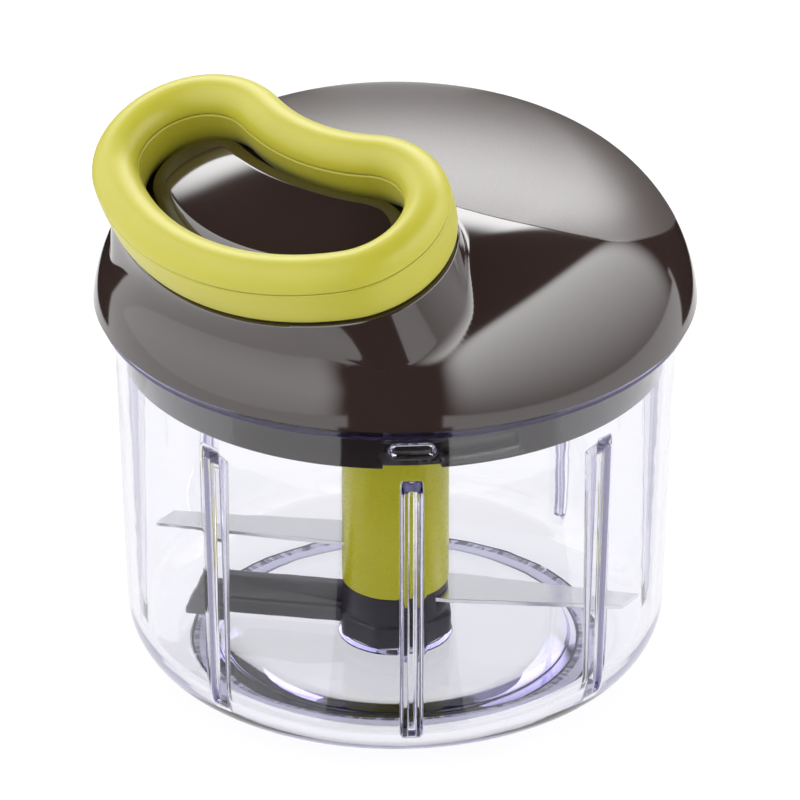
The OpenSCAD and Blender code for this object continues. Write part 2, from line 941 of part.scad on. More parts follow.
module cord_drum() {
    color("ghostwhite")
        rotate_extrude()
            difference() {
                union() {
                    translate([0, drum_z])
                        square([flange_r, flange_t]);
                    translate([0, drum_z])
                        square([drum_r, drum_top - drum_z]);
                    translate([0, drum_top - flange_t])
                        square([flange_r, flange_t]);
                    translate([0, drum_z])
                        square([arbor_r, cup_z + cup_room - fit_gap - drum_z]);
                }
                translate([0, drum_z - 1])
                    square([socket_r + seat_gap, socket_t + 1]);
                translate([socket_r + drum_wall, drum_z - 1])
                    square([drum_r - socket_r - 2 * drum_wall, drum_top - drum_z - drum_wall + 1]);
                square([axle_r + run_gap, 2 * dome_top]);
            }
}

module drive_socket() {
    color("dimgray")
    union() {
        tube(socket_r, dog_in, drum_z, drum_z + socket_t);
        rotate(180 / dog_count)
            dogs(drum_z - dog_h, dog_h + 1);
    }
}

module cord_winding() {
    color("whitesmoke")
        path_tube(wind_path, [0, 0, 1], cord_r, 6);
}

// Handle

grip_section_top = concat(
    [for (a = [0 : 22.5 : 180]) grip_r * [cos(a), sin(a)]],
    [for (a = [180 : -30 : 0]) (grip_r - grip_wall) * [cos(a), sin(a)]]
);
grip_half = [
    [grip_r, 0],
    [grip_r - 0.5, 3.2 - grip_depth],
    [grip_r - 1.1, 1.5 - grip_depth],
    [grip_foot + 1, 0.3 - grip_depth],
    [grip_foot, -grip_depth]
];
grip_half_in = [
    [grip_r - grip_wall, 0],
    [grip_r - grip_wall - 0.5, 3.2 - grip_depth],
    [grip_foot + 0.6, knot_h]
];

// The right half of a section, then its mirror image
function both_sides(half) = concat(
    half,
    [for (i = [len(half) - 1 : -1 : 0]) [-half[i][0], half[i][1]]]
);

function reversed(list) = [for (i = [len(list) - 1 : -1 : 0]) list[i]];

module at_grip_screws() {
    for (side = [-1, 1], a = grip_screw_at)
        translate([side * (lobe_x + lobe_r * cos(a)), lobe_r * sin(a) - lobe_out, 0])
            children();
}

module handle_upper() {
    color("yellowgreen")
    at_handle()
        difference() {
            union() {
                ring_sweep(grip_section_top);
                at_grip_screws()
                    cylinder(r = grip_boss_r, h = grip_r - grip_wall / 2);
            }
            at_grip_screws()
                translate([0, 0, -1])
                    cylinder(r = grip_screw_r + seat_gap, h = grip_screw_bite + 1.3);
        }
}

module handle_lower() {
    color("olivedrab")
    at_handle()
        difference() {
            union() {
                ring_sweep(concat(reversed(both_sides(grip_half)), both_sides(grip_half_in)));
                at_grip_screws()
                    cylinder_between(grip_boss_r, grip_wall / 2 - grip_depth, 0);
            }
            at_grip_screws() {
                cylinder_between(grip_screw_head_r + 0.1, -grip_depth - 1, grip_screw_seat);
                cylinder_between(grip_screw_r + 0.1, -grip_depth, 1);
            }
            translate([0, -ring_front, -grip_depth - 1])
                cylinder(r = eyelet_bore, h = grip_wall + 2);
        }
}

module handle_screws() {
    color("silver")
        at_handle()
            at_grip_screws()
                translate([0, 0, grip_screw_seat])
                    screw(grip_screw_r, grip_screw_head_r, grip_head_t, grip_screw_bite - grip_screw_seat);
}

module cord_knot() {
    color("whitesmoke")
        at_handle()
            translate([0, -ring_front, knot_h])
                intersection() {
                    translate([0, 0, knot_r / 2])
                        sphere(knot_r);
                    cylinder(r = 2 * knot_r, h = 3 * knot_r);
                }
}

// Least gap between neighbouring turns, measured on points of the forms
function turn_gap(path, per_turn, thickness) =
    min([for (i = [0 : len(path) - per_turn - 1]) norm(path[i + per_turn] - path[i])]) - thickness;

echo(winding_gap = turn_gap(wind_coil, 24, cord_d));
echo(spring_gap = turn_gap(spiral(0), 24, spring_t));

bowl();
anti_slip_ring();
pivot_pin();
blade_shaft();
paddle_hub();
pivot_bush();
upper_blade();
lower_blade();
drive_dog();
lid_shell();
lid_base();
lid_screws();
cord_eyelet();
spring_cup();
cup_screws();
recoil_spring();
pull_cord();
drum_axle();
axle_washer();
axle_clip();
cord_drum();
drive_socket();
cord_winding();
handle_upper();
handle_lower();
handle_screws();
cord_knot();
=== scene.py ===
# %% [markdown]
# # A pull-cord food chopper
# The chopper is a clear bowl under a dark, glossy lid. A lime ring on the lid pulls a cord, the cord
# turns a drum inside the lid, and the drum turns the shaft with its two blades and its paddle.
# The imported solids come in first: they give the place and size of every piece, and what moves.

# %% Load the solids
import json
import math

import bmesh
import bpy
import numpy as np
from mathutils import Matrix, Vector


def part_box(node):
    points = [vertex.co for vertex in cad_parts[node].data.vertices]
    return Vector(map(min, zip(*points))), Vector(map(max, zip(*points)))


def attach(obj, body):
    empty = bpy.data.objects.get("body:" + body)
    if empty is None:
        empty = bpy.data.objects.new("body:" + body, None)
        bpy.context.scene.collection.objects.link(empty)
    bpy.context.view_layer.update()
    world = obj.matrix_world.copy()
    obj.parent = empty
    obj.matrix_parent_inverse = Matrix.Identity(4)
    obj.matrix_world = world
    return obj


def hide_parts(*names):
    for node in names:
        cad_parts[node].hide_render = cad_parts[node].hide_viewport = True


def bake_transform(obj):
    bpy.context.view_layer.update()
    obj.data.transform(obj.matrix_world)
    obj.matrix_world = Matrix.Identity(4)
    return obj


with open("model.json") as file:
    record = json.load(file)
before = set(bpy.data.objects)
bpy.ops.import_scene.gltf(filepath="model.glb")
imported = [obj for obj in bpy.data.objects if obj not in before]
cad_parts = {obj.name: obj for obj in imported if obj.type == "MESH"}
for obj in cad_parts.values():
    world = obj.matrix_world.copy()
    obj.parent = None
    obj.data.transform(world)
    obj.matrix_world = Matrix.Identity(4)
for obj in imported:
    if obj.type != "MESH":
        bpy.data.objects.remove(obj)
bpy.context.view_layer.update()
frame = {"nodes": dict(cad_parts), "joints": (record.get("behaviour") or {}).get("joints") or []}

MM = 0.001
JOINTS = {joint["name"]: joint for joint in frame["joints"]}
NODES = frame["nodes"]
print("solids:", len(NODES), "joints:", sorted(JOINTS))


# %% [markdown]
# ## Small helpers
# Every piece is worked out in millimetres with numpy and turned into a mesh in metres. One function
# adds a node to a shader or geometry tree, so that each material below reads as a short list.

# %% Helpers for meshes
MERGE = 1e-7  # metres; points closer than this become one


def mesh_piece(name, points, faces, material, crease=40):
    """A mesh object from points in millimetres, smooth apart from edges sharper than crease degrees."""
    mesh = bpy.data.meshes.new(name)
    mesh.from_pydata((np.asarray(points, float).reshape(-1, 3) * MM).tolist(), [], faces)
    mesh.validate()
    tidy = bmesh.new()
    tidy.from_mesh(mesh)
    bmesh.ops.remove_doubles(tidy, verts=tidy.verts, dist=MERGE)
    bmesh.ops.recalc_face_normals(tidy, faces=tidy.faces)
    tidy.to_mesh(mesh)
    tidy.free()
    mesh.shade_smooth()
    mesh.set_sharp_from_angle(angle=math.radians(crease))
    mesh.materials.append(material)
    made = bpy.data.objects.new(name, mesh)
    bpy.context.scene.collection.objects.link(made)
    print(name, len(mesh.polygons), "faces")
    return made


def grid_faces(rows, columns, close_rows=False, close_columns=True):
    """Quads over a grid of points that is stored row by row."""
    last_row = rows if close_rows else rows - 1
    last_column = columns if close_columns else columns - 1
    return [
        (
            i * columns + j,
            i * columns + (j + 1) % columns,
            (i + 1) % rows * columns + (j + 1) % columns,
            (i + 1) % rows * columns + j,
        )
        for i in range(last_row)
        for j in range(last_column)
    ]


def turned(profile, sides=128, closed=False):
    """Points and faces of a profile of radius and height, turned round the axis.

    The profile of a ring is closed.
    """
    profile = np.asarray(profile, float)
    turn = np.linspace(0, 2 * math.pi, sides, endpoint=False)
    ring = np.stack([np.cos(turn), np.sin(turn)], -1)
    points = np.empty((len(profile), sides, 3))
    points[:, :, :2] = profile[:, None, :1] * ring[None]
    points[:, :, 2] = profile[:, None, 1]
    return points.reshape(-1, 3), grid_faces(len(profile), sides, close_rows=closed)


def softened(corners, radius, steps=4, closed=True):
    """An outline with its corners rounded to a radius, or to less where a side is short."""
    corners = [np.asarray(c, float) for c in corners]
    count = len(corners)
    made = []
    for i, corner in enumerate(corners):
        if not closed and i in (0, count - 1):
            made.append(corner)
            continue
        before = corners[i - 1] - corner
        after = corners[(i + 1) % count] - corner
        room = min(radius, 0.45 * np.linalg.norm(before), 0.45 * np.linalg.norm(after))
        start = corner + before / np.linalg.norm(before) * room
        end = corner + after / np.linalg.norm(after) * room
        for t in np.linspace(0, 1, steps):
            made.append((1 - t) ** 2 * start + 2 * t * (1 - t) * corner + t**2 * end)
    return np.array(made)


def cut(piece, *tools, keep="DIFFERENCE"):
    """Cuts tools out of a piece, or joins them to it, and deletes the tools."""
    for tool in tools:
        step = piece.modifiers.new("cut", "BOOLEAN")
        step.operation = keep
        step.solver = "EXACT"
        step.object = tool
        bake_modifiers(piece)
        bpy.data.objects.remove(tool)


def bake_modifiers(piece):
    """Turns a piece's modifiers into its plain mesh."""
    view = bpy.context.evaluated_depsgraph_get()
    mesh = bpy.data.meshes.new_from_object(piece.evaluated_get(view), depsgraph=view)
    piece.modifiers.clear()
    piece.data = mesh
    mesh.name = piece.name


# %% Helpers for nodes and colours
def add(tree, kind, sockets=None, **settings):
    """Adds a node, sets its own settings, and fills or links its sockets."""
    node = tree.nodes.new(kind)
    for key, value in settings.items():
        setattr(node, key, value)
    for key, value in (sockets or {}).items():
        if isinstance(value, bpy.types.NodeSocket):
            tree.links.new(value, node.inputs[key])
        else:
            node.inputs[key].default_value = value
    return node


def linear(code):
    """A colour written as sRGB hex, as linear values with alpha."""
    srgb = [int(code[i : i + 2], 16) / 255 for i in (1, 3, 5)]
    return [c / 12.92 if c <= 0.04045 else ((c + 0.055) / 1.055) ** 2.4 for c in srgb] + [1.0]


def new_material(name, **sockets):
    """A material with one Principled shader, with its constant sockets set by name."""
    material = bpy.data.materials.new(name)
    material.use_nodes = True
    tree = material.node_tree
    tree.nodes.clear()
    shader = add(tree, "ShaderNodeBsdfPrincipled")
    for key, value in sockets.items():
        shader.inputs[key.replace("_", " ")].default_value = value
    add(tree, "ShaderNodeOutputMaterial", {"Surface": shader.outputs["BSDF"]})
    return material, tree, shader


def per_metre(size_mm):
    """The scale of a pattern whose features are about size_mm across."""
    return 1 / (size_mm * MM)


# %% [markdown]
# ## Camera
# The photograph was taken with a long lens from above the front right of the ring. Its rim, base and
# floor ellipses give the height of the view, and their sizes along the axis give the distance.

# %% Camera
VIEW_TURN = 41.5  # degrees round the axis, from the ring side
VIEW_RISE = 27.783  # degrees above the table
VIEW_DISTANCE = 2067.8  # millimetres from the axis
VIEW_HEIGHT = 60.694  # the axis is aimed at this height
PIXELS_PER_TANGENT = 9368.0  # how long the lens is, in pixels of the image
IMAGE_SIZE = 800
AXIS_PIXEL = 395.3  # the axis stands at this column of the image
MIDDLE_PIXEL = 401.5  # and the height aimed at is on this row
SENSOR = 36.0

turn, rise = math.radians(VIEW_TURN), math.radians(VIEW_RISE)
AWAY = Vector((-math.sin(turn), math.cos(turn), 0))
RIGHT = Vector((math.cos(turn), math.sin(turn), 0))
UP = Vector((0, 0, 1))
camera_data = bpy.data.cameras.new("photo_camera")
camera_data.sensor_width = SENSOR
camera_data.lens = SENSOR * PIXELS_PER_TANGENT / IMAGE_SIZE
camera_data.shift_x = (IMAGE_SIZE / 2 - AXIS_PIXEL) / IMAGE_SIZE
camera_data.shift_y = (MIDDLE_PIXEL - IMAGE_SIZE / 2) / IMAGE_SIZE
camera_data.clip_end = 20  # metres, past the end of the floor
camera = bpy.data.objects.new("photo_camera", camera_data)
bpy.context.scene.collection.objects.link(camera)
look = AWAY * math.cos(rise) - UP * math.sin(rise)
camera.location = UP * VIEW_HEIGHT * MM - look * VIEW_DISTANCE * MM
camera.rotation_euler = look.to_track_quat("-Z", "Y").to_euler()
bpy.context.scene.camera = camera
bpy.context.scene.view_settings.view_transform = "Standard"
print("lens", round(camera_data.lens, 1), "mm")


# %% [markdown]
# ## Floor and background
# The chopper stands on white paper that runs out of sight. Enough light to burn that paper white would
# wash out the colours, so the floor and the world have two faces: a plain white for the camera, for
# mirrors and for clear plastic, and a dimmer one that lights the object. The floor's white leaves a
# little room for paper that takes the light, so that the shadow still shows.

# %% Floor and world
FILL_LIGHT = 0.28  # what the world adds to the softboxes
FLOOR_GLOW = 0.88  # white of the floor itself; the light on its paper brings the rest
FLOOR_SIZE = 9.0
FLOOR_DROP = 0.0001  # metres under the foot, so that floor and foot never share a plane


def stage_material(name):
    """An empty material for something in the studio."""
    material = bpy.data.materials.new(name)
    material.use_nodes = True
    material.node_tree.nodes.clear()
    return material, material.node_tree


def seen_directly(tree):
    """One for rays that show the background itself: camera, mirror and glass rays."""
    path = add(tree, "ShaderNodeLightPath")
    seen = path.outputs["Is Camera Ray"]
    for kind in ("Is Glossy Ray", "Is Transmission Ray"):
        seen = add(tree, "ShaderNodeMath", {0: seen, 1: path.outputs[kind]}, operation="MAXIMUM").outputs[0]
    return seen


def stage_card(name, width, height, material):
    """A flat card in its own XY plane, in metres."""
    mesh = bpy.data.meshes.new(name)
    x, y = width / 2, height / 2
    mesh.from_pydata([(-x, -y, 0), (x, -y, 0), (x, y, 0), (-x, y, 0)], [], [(0, 1, 2, 3)])
    mesh.materials.append(material)
    card = bpy.data.objects.new(name, mesh)
    bpy.context.scene.collection.objects.link(card)
    return card


world = bpy.data.worlds.new("white_studio")
world.use_nodes = True
tree = world.node_tree
tree.nodes.clear()
fill = add(tree, "ShaderNodeBackground", {"Color": linear("#ffffff"), "Strength": FILL_LIGHT})
white = add(tree, "ShaderNodeBackground", {"Color": linear("#ffffff"), "Strength": 1.0})
mixed = add(
    tree, "ShaderNodeMixShader", {0: seen_directly(tree), 1: fill.outputs[0], 2: white.outputs[0]}
)
add(tree, "ShaderNodeOutputWorld", {"Surface": mixed.outputs[0]})
bpy.context.scene.world = world

floor_finish, tree = stage_material("white_paper_floor")
paper = add(tree, "ShaderNodeBsdfDiffuse", {"Color": linear("#ebebeb")})
through = add(tree, "ShaderNodeLightPath").outputs["Is Transmission Ray"]
glow = add(
    tree, "ShaderNodeMath", {0: through, 1: 1 - FLOOR_GLOW, 2: FLOOR_GLOW}, operation="MULTIPLY_ADD"
)
paper_glow = add(tree, "ShaderNodeEmission", {"Color": linear("#ffffff"), "Strength": glow.outputs[0]})
paper_dim = add(tree, "ShaderNodeBsdfDiffuse", {"Color": linear("#686868")})
paper_seen = add(tree, "ShaderNodeAddShader", {0: paper_dim.outputs[0], 1: paper_glow.outputs[0]})
paper_both = add(
    tree, "ShaderNodeMixShader", {0: seen_directly(tree), 1: paper.outputs[0], 2: paper_seen.outputs[0]}
)
add(tree, "ShaderNodeOutputMaterial", {"Surface": paper_both.outputs[0]})
floor = stage_card("floor", FLOOR_SIZE, FLOOR_SIZE, floor_finish)
floor.location.z = -FLOOR_DROP
print("floor", FLOOR_SIZE, "m wide, fill light", FILL_LIGHT)


# %% [markdown]
# ## Softboxes
# The lid is glossy, so what it reflects makes its look. One wide softbox stands on each side and one
# hangs above the background. Area lamps would do, but they are evenly bright. These are cards of lit
# cloth that fade towards their edges and their foot, so the highlights on the dome fade as well.

# %% Softboxes
def softbox_finish(name, strength, low):
    """White cloth over a lamp with soft edges, brightest at its top. Low is the share left at its foot."""
    material, tree = stage_material(name)
    place = add(tree, "ShaderNodeTexCoord").outputs["Generated"]
    axes = add(tree, "ShaderNodeSeparateXYZ", {0: place})
    parts = []
    for axis, sharpness, from_middle in (("X", 3.0, "ABSOLUTE"), ("Y", 4.0, "MAXIMUM")):
        centred = add(
            tree, "ShaderNodeMath", {0: axes.outputs[axis], 1: 2.0, 2: -1.0}, operation="MULTIPLY_ADD"
        )
        size = add(tree, "ShaderNodeMath", {0: centred.outputs[0], 1: 0.0}, operation=from_middle)
        parts.append(add(tree, "ShaderNodeMath", {0: size.outputs[0], 1: sharpness}, operation="POWER"))
    spread = add(tree, "ShaderNodeMath", {0: parts[0].outputs[0], 1: parts[1].outputs[0]}, operation="ADD")
    edge = add(
        tree,
        "ShaderNodeMapRange",
        {"Value": spread.outputs[0], "From Min": 0.25, "From Max": 1.0, "To Min": 1.0, "To Max": 0.0},
        interpolation_type="SMOOTHSTEP",
    )
    rising = add(
        tree,
        "ShaderNodeMapRange",
        {"Value": axes.outputs["Y"], "From Min": 0.0, "From Max": 0.9, "To Min": low, "To Max": 1.0},
    )
    level = add(tree, "ShaderNodeMath", {0: edge.outputs[0], 1: rising.outputs[0]}, operation="MULTIPLY")
    power = add(tree, "ShaderNodeMath", {0: level.outputs[0], 1: strength}, operation="MULTIPLY")
    lamp = add(tree, "ShaderNodeEmission", {"Color": linear("#ffffff"), "Strength": power.outputs[0]})
    add(tree, "ShaderNodeOutputMaterial", {"Surface": lamp.outputs[0]})
    return material


def stand(card, turn_from_away, rise, distance, level):
    """Puts a card round the object, seen from it at these angles, and faces it to the object."""
    turn, rise = math.radians(turn_from_away), math.radians(rise)
    outward = (RIGHT * math.sin(turn) + AWAY * math.cos(turn)) * math.cos(rise) + UP * math.sin(rise)
    card.location = outward * distance + UP * level
    card.rotation_euler = outward.to_track_quat("Z", "Y").to_euler()
    card.visible_camera = False
    return card


# Name, width, height, strength, share at the foot; then degrees from the far side, rise, distance, level
SOFTBOXES = (
    ("softbox_right", 1.67, 0.78, 4.1, 0.12, 107, 0, 0.55, 0.39),
    ("softbox_left", 1.75, 0.90, 2.9, 0.45, -102, 0, 0.48, 0.45),
    ("softbox_back", 1.9, 0.70, 7.4, 0.2, 3, 36, 1.1, 0.10),
)
for name, width, height, strength, low, turn_from, rise_to, distance, level in SOFTBOXES:
    box = stage_card(name, width, height, softbox_finish(name + "_cloth", strength, low))
    stand(box, turn_from, rise_to, distance, level)
    # Through the bowl the blades would mirror the one at the back, and turn plain white
    box.visible_transmission = name != "softbox_back"
print("softboxes:", len(SOFTBOXES))


# %% [markdown]
# ## Dark cards
# Between the softboxes a photographer sets black cards, and they draw the dark shapes on the dome: the
# band down its front is the card on the camera's side. A dark room stands behind everything. Felt on
# the table keeps the white floor out of the lid's lower edge, and out of what shines behind the bowl's
# wall. All of it shows in reflections alone, so it neither shades the object nor stands behind it.

# %% Dark cards
card_finish, tree = stage_material("black_card")
black = add(tree, "ShaderNodeBsdfDiffuse", {"Color": linear("#141211")})
add(tree, "ShaderNodeOutputMaterial", {"Surface": black.outputs[0]})


def only_mirrored(card):
    """Shows a dark card in reflections and nowhere else."""
    card.visible_camera = False
    card.visible_diffuse = False
    card.visible_transmission = False
    card.visible_shadow = False


# Name, width, height; then degrees from the far side, distance and level
DARK_CARDS = (
    ("card_front", 0.19, 0.60, 180, 0.34, 0.30),
    ("card_back_left", 0.24, 0.11, -31, 0.25, 0.055),
    ("card_back_right", 0.24, 0.11, 31, 0.25, 0.055),
)
for name, width, height, turn_from, distance, level in DARK_CARDS:
    only_mirrored(stand(stage_card(name, width, height, card_finish), turn_from, 0, distance, level))
ROOM_R, ROOM_H = 2400, 2600
room = mesh_piece("dark_room", *turned([(ROOM_R, 0), (ROOM_R, ROOM_H), (0, ROOM_H)], 48), card_finish)
only_mirrored(room)


# %% Felt on the table
def felt_finish(name, *depths):
    """Black felt for rays that have made each of these kinds of bounce, and nothing for the others."""
    material, tree = stage_material(name)
    felt = add(tree, "ShaderNodeBsdfDiffuse", {"Color": linear("#101010")})
    unseen = add(tree, "ShaderNodeBsdfTransparent", {"Color": linear("#ffffff")})
    path = add(tree, "ShaderNodeLightPath")
    fewest = add(
        tree,
        "ShaderNodeMath",
        {0: path.outputs[depths[0]], 1: path.outputs[depths[-1]]},
        operation="MINIMUM",
    )
    bounced = add(tree, "ShaderNodeMath", {0: fewest.outputs[0], 1: 0.5}, operation="GREATER_THAN")
    both = add(
        tree, "ShaderNodeMixShader", {0: bounced.outputs[0], 1: unseen.outputs[0], 2: felt.outputs[0]}
    )
    add(tree, "ShaderNodeOutputMaterial", {"Surface": both.outputs[0]})
    return material


MAT_FROM = 68  # millimetres from the axis, just past the lid's rim
# Name, half the fan in degrees, reach, height over the floor, and the bounces that show it
MATS = (
    ("dark_mat_front", 19, 420, 0.05, ["Glossy Depth"]),
    ("dark_mat_near", 62, 170, 0.10, ["Glossy Depth", "Transmission Depth"]),
)
for name, half_turn, reach, level, depths in MATS:
    turns = np.radians(np.linspace(-half_turn, half_turn, 17))
    spokes = np.outer(np.cos(turns), -AWAY) + np.outer(np.sin(turns), RIGHT)
    points = np.array([spokes * MAT_FROM, spokes * reach]) + np.array(UP) * level
    faces = grid_faces(2, len(turns), close_columns=False)
    mat = mesh_piece(name, points, faces, felt_finish(name, *depths))
    only_mirrored(mat)
    mat.visible_transmission = True
print("dark cards:", len(DARK_CARDS), "mats:", len(MATS))


# %% [markdown]
# ## Finishes
# Each material starts from what the real one is. Colours are written as sRGB hex, patterns in
# millimetres. All the plastics are injection moulded, so they share one recipe: a faint cloud in the
# pigment, a little unevenness in the gloss, and the fine skin that the mould leaves.

# %% Moulded plastics
CLOUD = 14  # millimetres; the size of the faint clouds in the pigment
SKIN_SPREAD = 0.12  # how far the gloss strays, as a share of it


def pattern_finish(tree, shader, tint, deep, lit, relief, gloss, spread, depth_mm):
    """Runs the colour from deep to lit by one pattern, and the gloss and relief by another."""
    colour = add(
        tree, "ShaderNodeMix", {"Factor": tint, "A": linear(deep), "B": linear(lit)}, data_type="RGBA"
    )
    rough = add(
        tree,
        "ShaderNodeMapRange",
        {"Value": relief, "To Min": gloss * (1 - spread), "To Max": gloss * (1 + spread)},
    )
    bump = add(tree, "ShaderNodeBump", {"Height": relief, "Strength": 1.0, "Distance": depth_mm * MM})
    tree.links.new(colour.outputs["Result"], shader.inputs["Base Color"])
    tree.links.new(rough.outputs["Result"], shader.inputs["Roughness"])
    tree.links.new(bump.outputs["Normal"], shader.inputs["Normal"])


def moulded_plastic(name, deep, lit, gloss, skin_mm, skin_depth_mm, **sockets):
    """Pigmented plastic between two close colours, with the size and depth of its moulded skin."""
    material, tree, shader = new_material(name, **sockets)
    place = add(tree, "ShaderNodeTexCoord").outputs["Object"]
    cloud = add(
        tree,
        "ShaderNodeTexNoise",
        {"Vector": place, "Scale": per_metre(CLOUD), "Detail": 3.0, "Roughness": 0.6},
    ).outputs["Fac"]
    skin = add(
        tree, "ShaderNodeTexNoise", {"Vector": place, "Scale": per_metre(skin_mm), "Detail": 2.0}
    ).outputs["Fac"]
    pattern_finish(tree, shader, cloud, deep, lit, skin, gloss, SKIN_SPREAD, skin_depth_mm)
    return material


# Soft-touch lime polypropylene: a velvety, almost matt skin that spreads every highlight
LIME_RING = moulded_plastic(
    "soft_lime_polypropylene", "#b2ac26", "#bbb530", 0.42, 0.45, 0.012, IOR=1.6, Sheen_Weight=0.1
)
# Lime ABS of the shaft: the same pigment, polished, so it carries long soft highlights
LIME_SHAFT = moulded_plastic("lime_abs", "#c6c213", "#cdc91c", 0.28, 0.6, 0.004, IOR=1.53)
# Charcoal polypropylene of hub and paddle: dark, with a dull satin sheen on its edges
CHARCOAL = moulded_plastic("charcoal_polypropylene", "#2b282b", "#343136", 0.34, 0.5, 0.01, IOR=1.49)
# Dark ABS of the collar: polished, so it mirrors the softboxes through the clear bowl
COLLAR = moulded_plastic("dark_collar_abs", "#2a2422", "#312a28", 0.16, 0.6, 0.003, IOR=1.53)
# Unpainted acetal of the drum and the spring cup: milky, waxy and a little shiny
ACETAL = moulded_plastic("white_acetal", "#d9d8d2", "#e6e5df", 0.32, 0.6, 0.006, IOR=1.48)
# Silicone of the anti-slip ring: milky, nearly white and quite dull
SILICONE = moulded_plastic("pale_silicone", "#ebebee", "#f2f2f4", 0.55, 0.4, 0.015, IOR=1.41)
print("plastics:", LIME_RING.name, LIME_SHAFT.name, CHARCOAL.name, SILICONE.name)


# %% [markdown]
# ## Lid finish
# The lid is one moulding of dark brown ABS. Most of it is polished like a piano, and the pad for the
# palm is left with the grain of a spark-eroded mould. That pad is an oval in plan, longer at the back,
# so its mask is worked out from the piece's own X and Y.

# %% Polished ABS with a grained palm pad
PAD_HALF_WIDTH = 51.6
PAD_MIDDLE = 18.2  # along Y
PAD_FRONT = 33.6
PAD_BACK = 46.5
PAD_EDGE = 0.006  # half the softness of its edge, as a share of the oval
GRAIN = 0.5  # the real grain is finer; this is as fine as the render can show
GRAIN_DEPTH = 0.05
LID_CLOUD = 20
POLISHED, GRAINED = 0.08, 0.33  # roughness of the two surfaces


def lid_abs():
    """Brown ABS, polished outside the pad's oval and grained inside it."""
    material, tree, shader = new_material("brown_abs_polished_and_grained", IOR=1.9)
    place = add(tree, "ShaderNodeTexCoord").outputs["Object"]
    axes = add(tree, "ShaderNodeSeparateXYZ", {0: place})
    along = add(
        tree, "ShaderNodeMath", {0: axes.outputs["Y"], 1: PAD_MIDDLE * MM}, operation="SUBTRACT"
    ).outputs[0]
    behind = add(tree, "ShaderNodeMath", {0: along, 1: 0.0}, operation="MAXIMUM").outputs[0]
    before = add(tree, "ShaderNodeMath", {0: along, 1: 0.0}, operation="MINIMUM").outputs[0]
    parts = [
        add(tree, "ShaderNodeMath", {0: value, 1: size * MM}, operation="DIVIDE").outputs[0]
        for value, size in (
            (axes.outputs["X"], PAD_HALF_WIDTH),
            (behind, PAD_BACK),
            (before, PAD_FRONT),
        )
    ]
    oval = add(tree, "ShaderNodeCombineXYZ", {0: parts[0], 1: parts[1], 2: parts[2]})
    reach = add(tree, "ShaderNodeVectorMath", {0: oval.outputs[0]}, operation="LENGTH")
    pad = add(
        tree,
        "ShaderNodeMapRange",
        {
            "Value": reach.outputs["Value"],
            "From Min": 1 - PAD_EDGE,
            "From Max": 1 + PAD_EDGE,
            "To Min": 1.0,
            "To Max": 0.0,
        },
        interpolation_type="SMOOTHSTEP",
    ).outputs["Result"]
    cloud = add(
        tree, "ShaderNodeTexNoise", {"Vector": place, "Scale": per_metre(LID_CLOUD), "Detail": 2.0}
    )
    grain = add(
        tree,
        "ShaderNodeTexNoise",
        {"Vector": place, "Scale": per_metre(GRAIN), "Detail": 3.0, "Roughness": 0.65},
    )
    tones = []
    for pattern, deep, lit in ((cloud, "#2e2320", "#342826"), (grain, "#463f3d", "#5a5250")):
        tone = add(
            tree,
            "ShaderNodeMix",
            {"Factor": pattern.outputs["Fac"], "A": linear(deep), "B": linear(lit)},
            data_type="RGBA",
        )
        tones.append(tone.outputs["Result"])
    colour = add(tree, "ShaderNodeMix", {"Factor": pad, "A": tones[0], "B": tones[1]}, data_type="RGBA")
    tree.links.new(colour.outputs["Result"], shader.inputs["Base Color"])
    rough = add(tree, "ShaderNodeMapRange", {"Value": pad, "To Min": POLISHED, "To Max": GRAINED})
    tree.links.new(rough.outputs["Result"], shader.inputs["Roughness"])
    depth = add(tree, "ShaderNodeMath", {0: pad, 1: grain.outputs["Fac"]}, operation="MULTIPLY")
    relief = add(
        tree,
        "ShaderNodeBump",
        {"Height": depth.outputs[0], "Strength": 1.0, "Distance": GRAIN_DEPTH * MM},
    )
    tree.links.new(relief.outputs["Normal"], shader.inputs["Normal"])
    return material


# Brown ABS: a deep mirror where it is polished, stronger than plain ABS gives, and a dull grey pad
LID_ABS = lid_abs()
print("lid finish:", LID_ABS.name)


# %% [markdown]
# ## Clear plastic
# The bowl is clear styrene-acrylonitrile with a trace of blue toner. Looking straight through a wall it
# is colourless, but along the rim and the ribs the light travels far inside, and there the toner shows
# as lavender. So the colour sits in the volume, as absorption, and only the rim, which the light runs
# round many times, has some on its surface as well. Light that only falls through the bowl on its way
# to other pieces passes without being bent, and light that has been caught inside the plastic for many
# turns leaks out at last with the toner's colour.

# %% Clear bowl
RIM_FOOT = 84.6  # from this height up the light runs round the rim, and the toner shows most
RIM_FADE = 0.8
FLOW, FLOW_DEPTH, FLOW_HAZE = 9, 0.02, 0.03  # faint waves that the melt leaves in a moulded wall
TONER = 56.0  # density of the toner for each metre
CAUGHT = 5.5  # bounces after which the light leaks out


